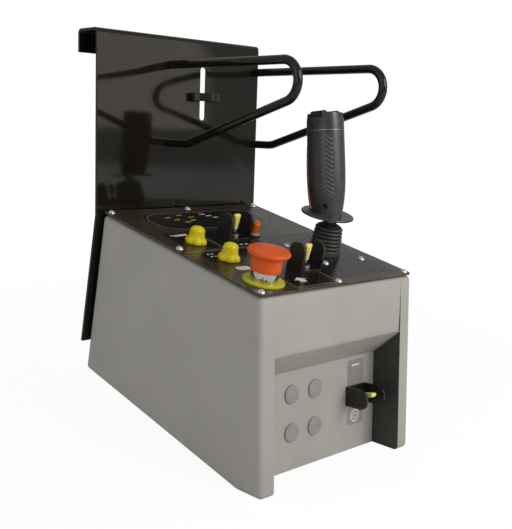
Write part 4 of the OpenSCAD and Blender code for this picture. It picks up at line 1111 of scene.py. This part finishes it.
class CONTROLBOX_OT_stage(bpy.types.Operator):
    """Set the pale floor, the soft light and the view"""

    bl_idname = "controlbox.stage"
    bl_label = "Stage"

    def execute(self, context):
        stage = context.scene.stage_settings
        self.floor(stage)
        self.sky(context, stage)
        self.lamp("key_light", (0.50, -1.95, 0.75), 1.1, stage.key)
        self.lamp("fill_light", (-1.8, -0.3, 0.5), 1.3, stage.fill)
        self.lamp("plate_glow", (1.15, -2.00, 0.30), 0.9, stage.glow, (1.0, 0.92, 0.80))
        self.camera(context)
        context.scene.view_settings.view_transform = "Standard"
        return {"FINISHED"}

    def floor(self, stage):
        """A pale floor under the foot that is bright to the camera and keeps its shadow."""
        reach = stage.floor
        corners = [(-reach, -reach, FOOT), (reach, -reach, FOOT), (reach, reach, FOOT),
                   (-reach, reach, FOOT)]
        mesh = bpy.data.meshes.new("studio_floor")
        mesh.from_pydata(corners, [], [(0, 1, 2, 3)])
        floor = stand("studio_floor", mesh)
        made = bpy.data.materials.new("floor_paint")
        made.use_nodes = True
        tree = made.node_tree
        surface = tree.nodes["Principled BSDF"]
        surface.inputs["Base Color"].default_value = (0.8, 0.8, 0.8, 1)
        surface.inputs["Roughness"].default_value = 0.9
        glow = add_node(tree, "ShaderNodeEmission", {"Color": (1, 1, 1, 1), "Strength": 1.04})
        place = add_node(tree, "ShaderNodeTexCoord").outputs["Object"]
        away = add_node(tree, "ShaderNodeVectorMath", {0: place}, operation="LENGTH")
        # The glow takes this share of the floor near the origin, and all of it far away
        near, far, share = 0.7, 1.8, 0.90
        clear = spread(tree, away.outputs["Value"], near, far, share, 1.0)
        amount = sums(tree, "MULTIPLY", self.seen(tree), clear)
        both = add_node(tree, "ShaderNodeMixShader", {
            0: amount, 1: surface.outputs[0], 2: glow.outputs[0]})
        tree.links.new(both.outputs[0], tree.nodes["Material Output"].inputs["Surface"])
        mesh.materials.append(made)

    def seen(self, tree):
        """One for rays that the camera or glass sends out."""
        path = add_node(tree, "ShaderNodeLightPath")
        return sums(
            tree, "MAXIMUM", path.outputs["Is Camera Ray"], path.outputs["Is Transmission Ray"])

    def sky(self, context, stage):
        """Even light from all round, white where it is seen."""
        world = bpy.data.worlds.new("studio")
        world.use_nodes = True
        context.scene.world = world
        tree = world.node_tree
        light = tree.nodes["Background"]
        light.inputs["Color"].default_value = (1, 1, 1, 1)
        light.inputs["Strength"].default_value = stage.sky
        white = add_node(tree, "ShaderNodeBackground", {"Color": (1, 1, 1, 1), "Strength": 1.0})
        both = add_node(tree, "ShaderNodeMixShader", {
            0: self.seen(tree), 1: light.outputs[0], 2: white.outputs[0]})
        tree.links.new(both.outputs[0], tree.nodes["World Output"].inputs["Surface"])

    def lamp(self, name, place, size, power, tone=(1.0, 1.0, 1.0)):
        """A square soft light aimed at the middle of the box."""
        light = bpy.data.lights.new(name, "AREA")
        light.color = tone
        light.shape = "SQUARE"
        light.size = size
        light.energy = power
        lamp = stand(name, light)
        lamp.location = place
        aim = Vector((0, -0.12, -0.22)) - lamp.location
        lamp.rotation_euler = aim.to_track_quat("-Z", "Y").to_euler()

    def camera(self, context):
        """The photograph's view: a turn about the upright, a dip, and a slight roll."""
        turn, dip, roll = radians(-44.027), radians(8.869), radians(1.922)
        back = Vector((sin(turn) * cos(dip), -cos(turn) * cos(dip), sin(dip)))
        right = Vector((cos(turn), sin(turn), 0))
        up = back.cross(right)
        across = cos(roll) * right + sin(roll) * up
        upright = -sin(roll) * right + cos(roll) * up
        view = Matrix((across, upright, back)).transposed().to_4x4()
        view.translation = Vector((-618.55, -783.08, -94.84)) * MM
        lens = bpy.data.cameras.new("photo_view")
        lens.lens = 60.76
        lens.sensor_width = 36
        lens.sensor_fit = "HORIZONTAL"
        lens.clip_start = 0.01
        lens.clip_end = 50
        camera = stand("photo_view", lens)
        camera.matrix_world = view
        context.scene.camera = camera


OPERATORS = (
    CONTROLBOX_OT_bracket,
    CONTROLBOX_OT_housing,
    CONTROLBOX_OT_panel,
    CONTROLBOX_OT_screws,
    CONTROLBOX_OT_estop,
    CONTROLBOX_OT_buttons,
    CONTROLBOX_OT_lamp,
    CONTROLBOX_OT_toggles,
    CONTROLBOX_OT_joystick,
    CONTROLBOX_OT_grip,
    CONTROLBOX_OT_face_label,
    CONTROLBOX_OT_inside,
    CONTROLBOX_OT_stage,
)


class CONTROLBOX_PT_panel(bpy.types.Panel):
    """Pieces, sizes and colours of the control box"""

    bl_label = "Control Box"
    bl_idname = "CONTROLBOX_PT_panel"
    bl_space_type = "VIEW_3D"
    bl_region_type = "UI"
    bl_category = "Control Box"

    def draw(self, context):
        layout = self.layout
        for operator in OPERATORS:
            layout.operator(operator.bl_idname)
        for settings in ("box_sizes", "box_colours", "stage_settings"):
            group = getattr(context.scene, settings)
            column = layout.box().column()
            for key in group.bl_rna.properties.keys():
                if key not in ("rna_type", "name"):
                    column.prop(group, key)


GROUPS = {
    "box_colours": BoxColours,
    "box_sizes": BoxSizes,
    "stage_settings": StageSettings,
}


def register():
    for made in (*GROUPS.values(), *OPERATORS, CONTROLBOX_PT_panel):
        bpy.utils.register_class(made)
    for name, group in GROUPS.items():
        setattr(bpy.types.Scene, name, PointerProperty(type=group))


def unregister():
    for name in GROUPS:
        delattr(bpy.types.Scene, name)
    for made in (CONTROLBOX_PT_panel, *reversed(OPERATORS), *reversed(GROUPS.values())):
        bpy.utils.unregister_class(made)


def main():
    register()
    for operator in OPERATORS:
        group, name = operator.bl_idname.split(".")
        getattr(getattr(bpy.ops, group), name)()


if __name__ == "__main__":
    main()
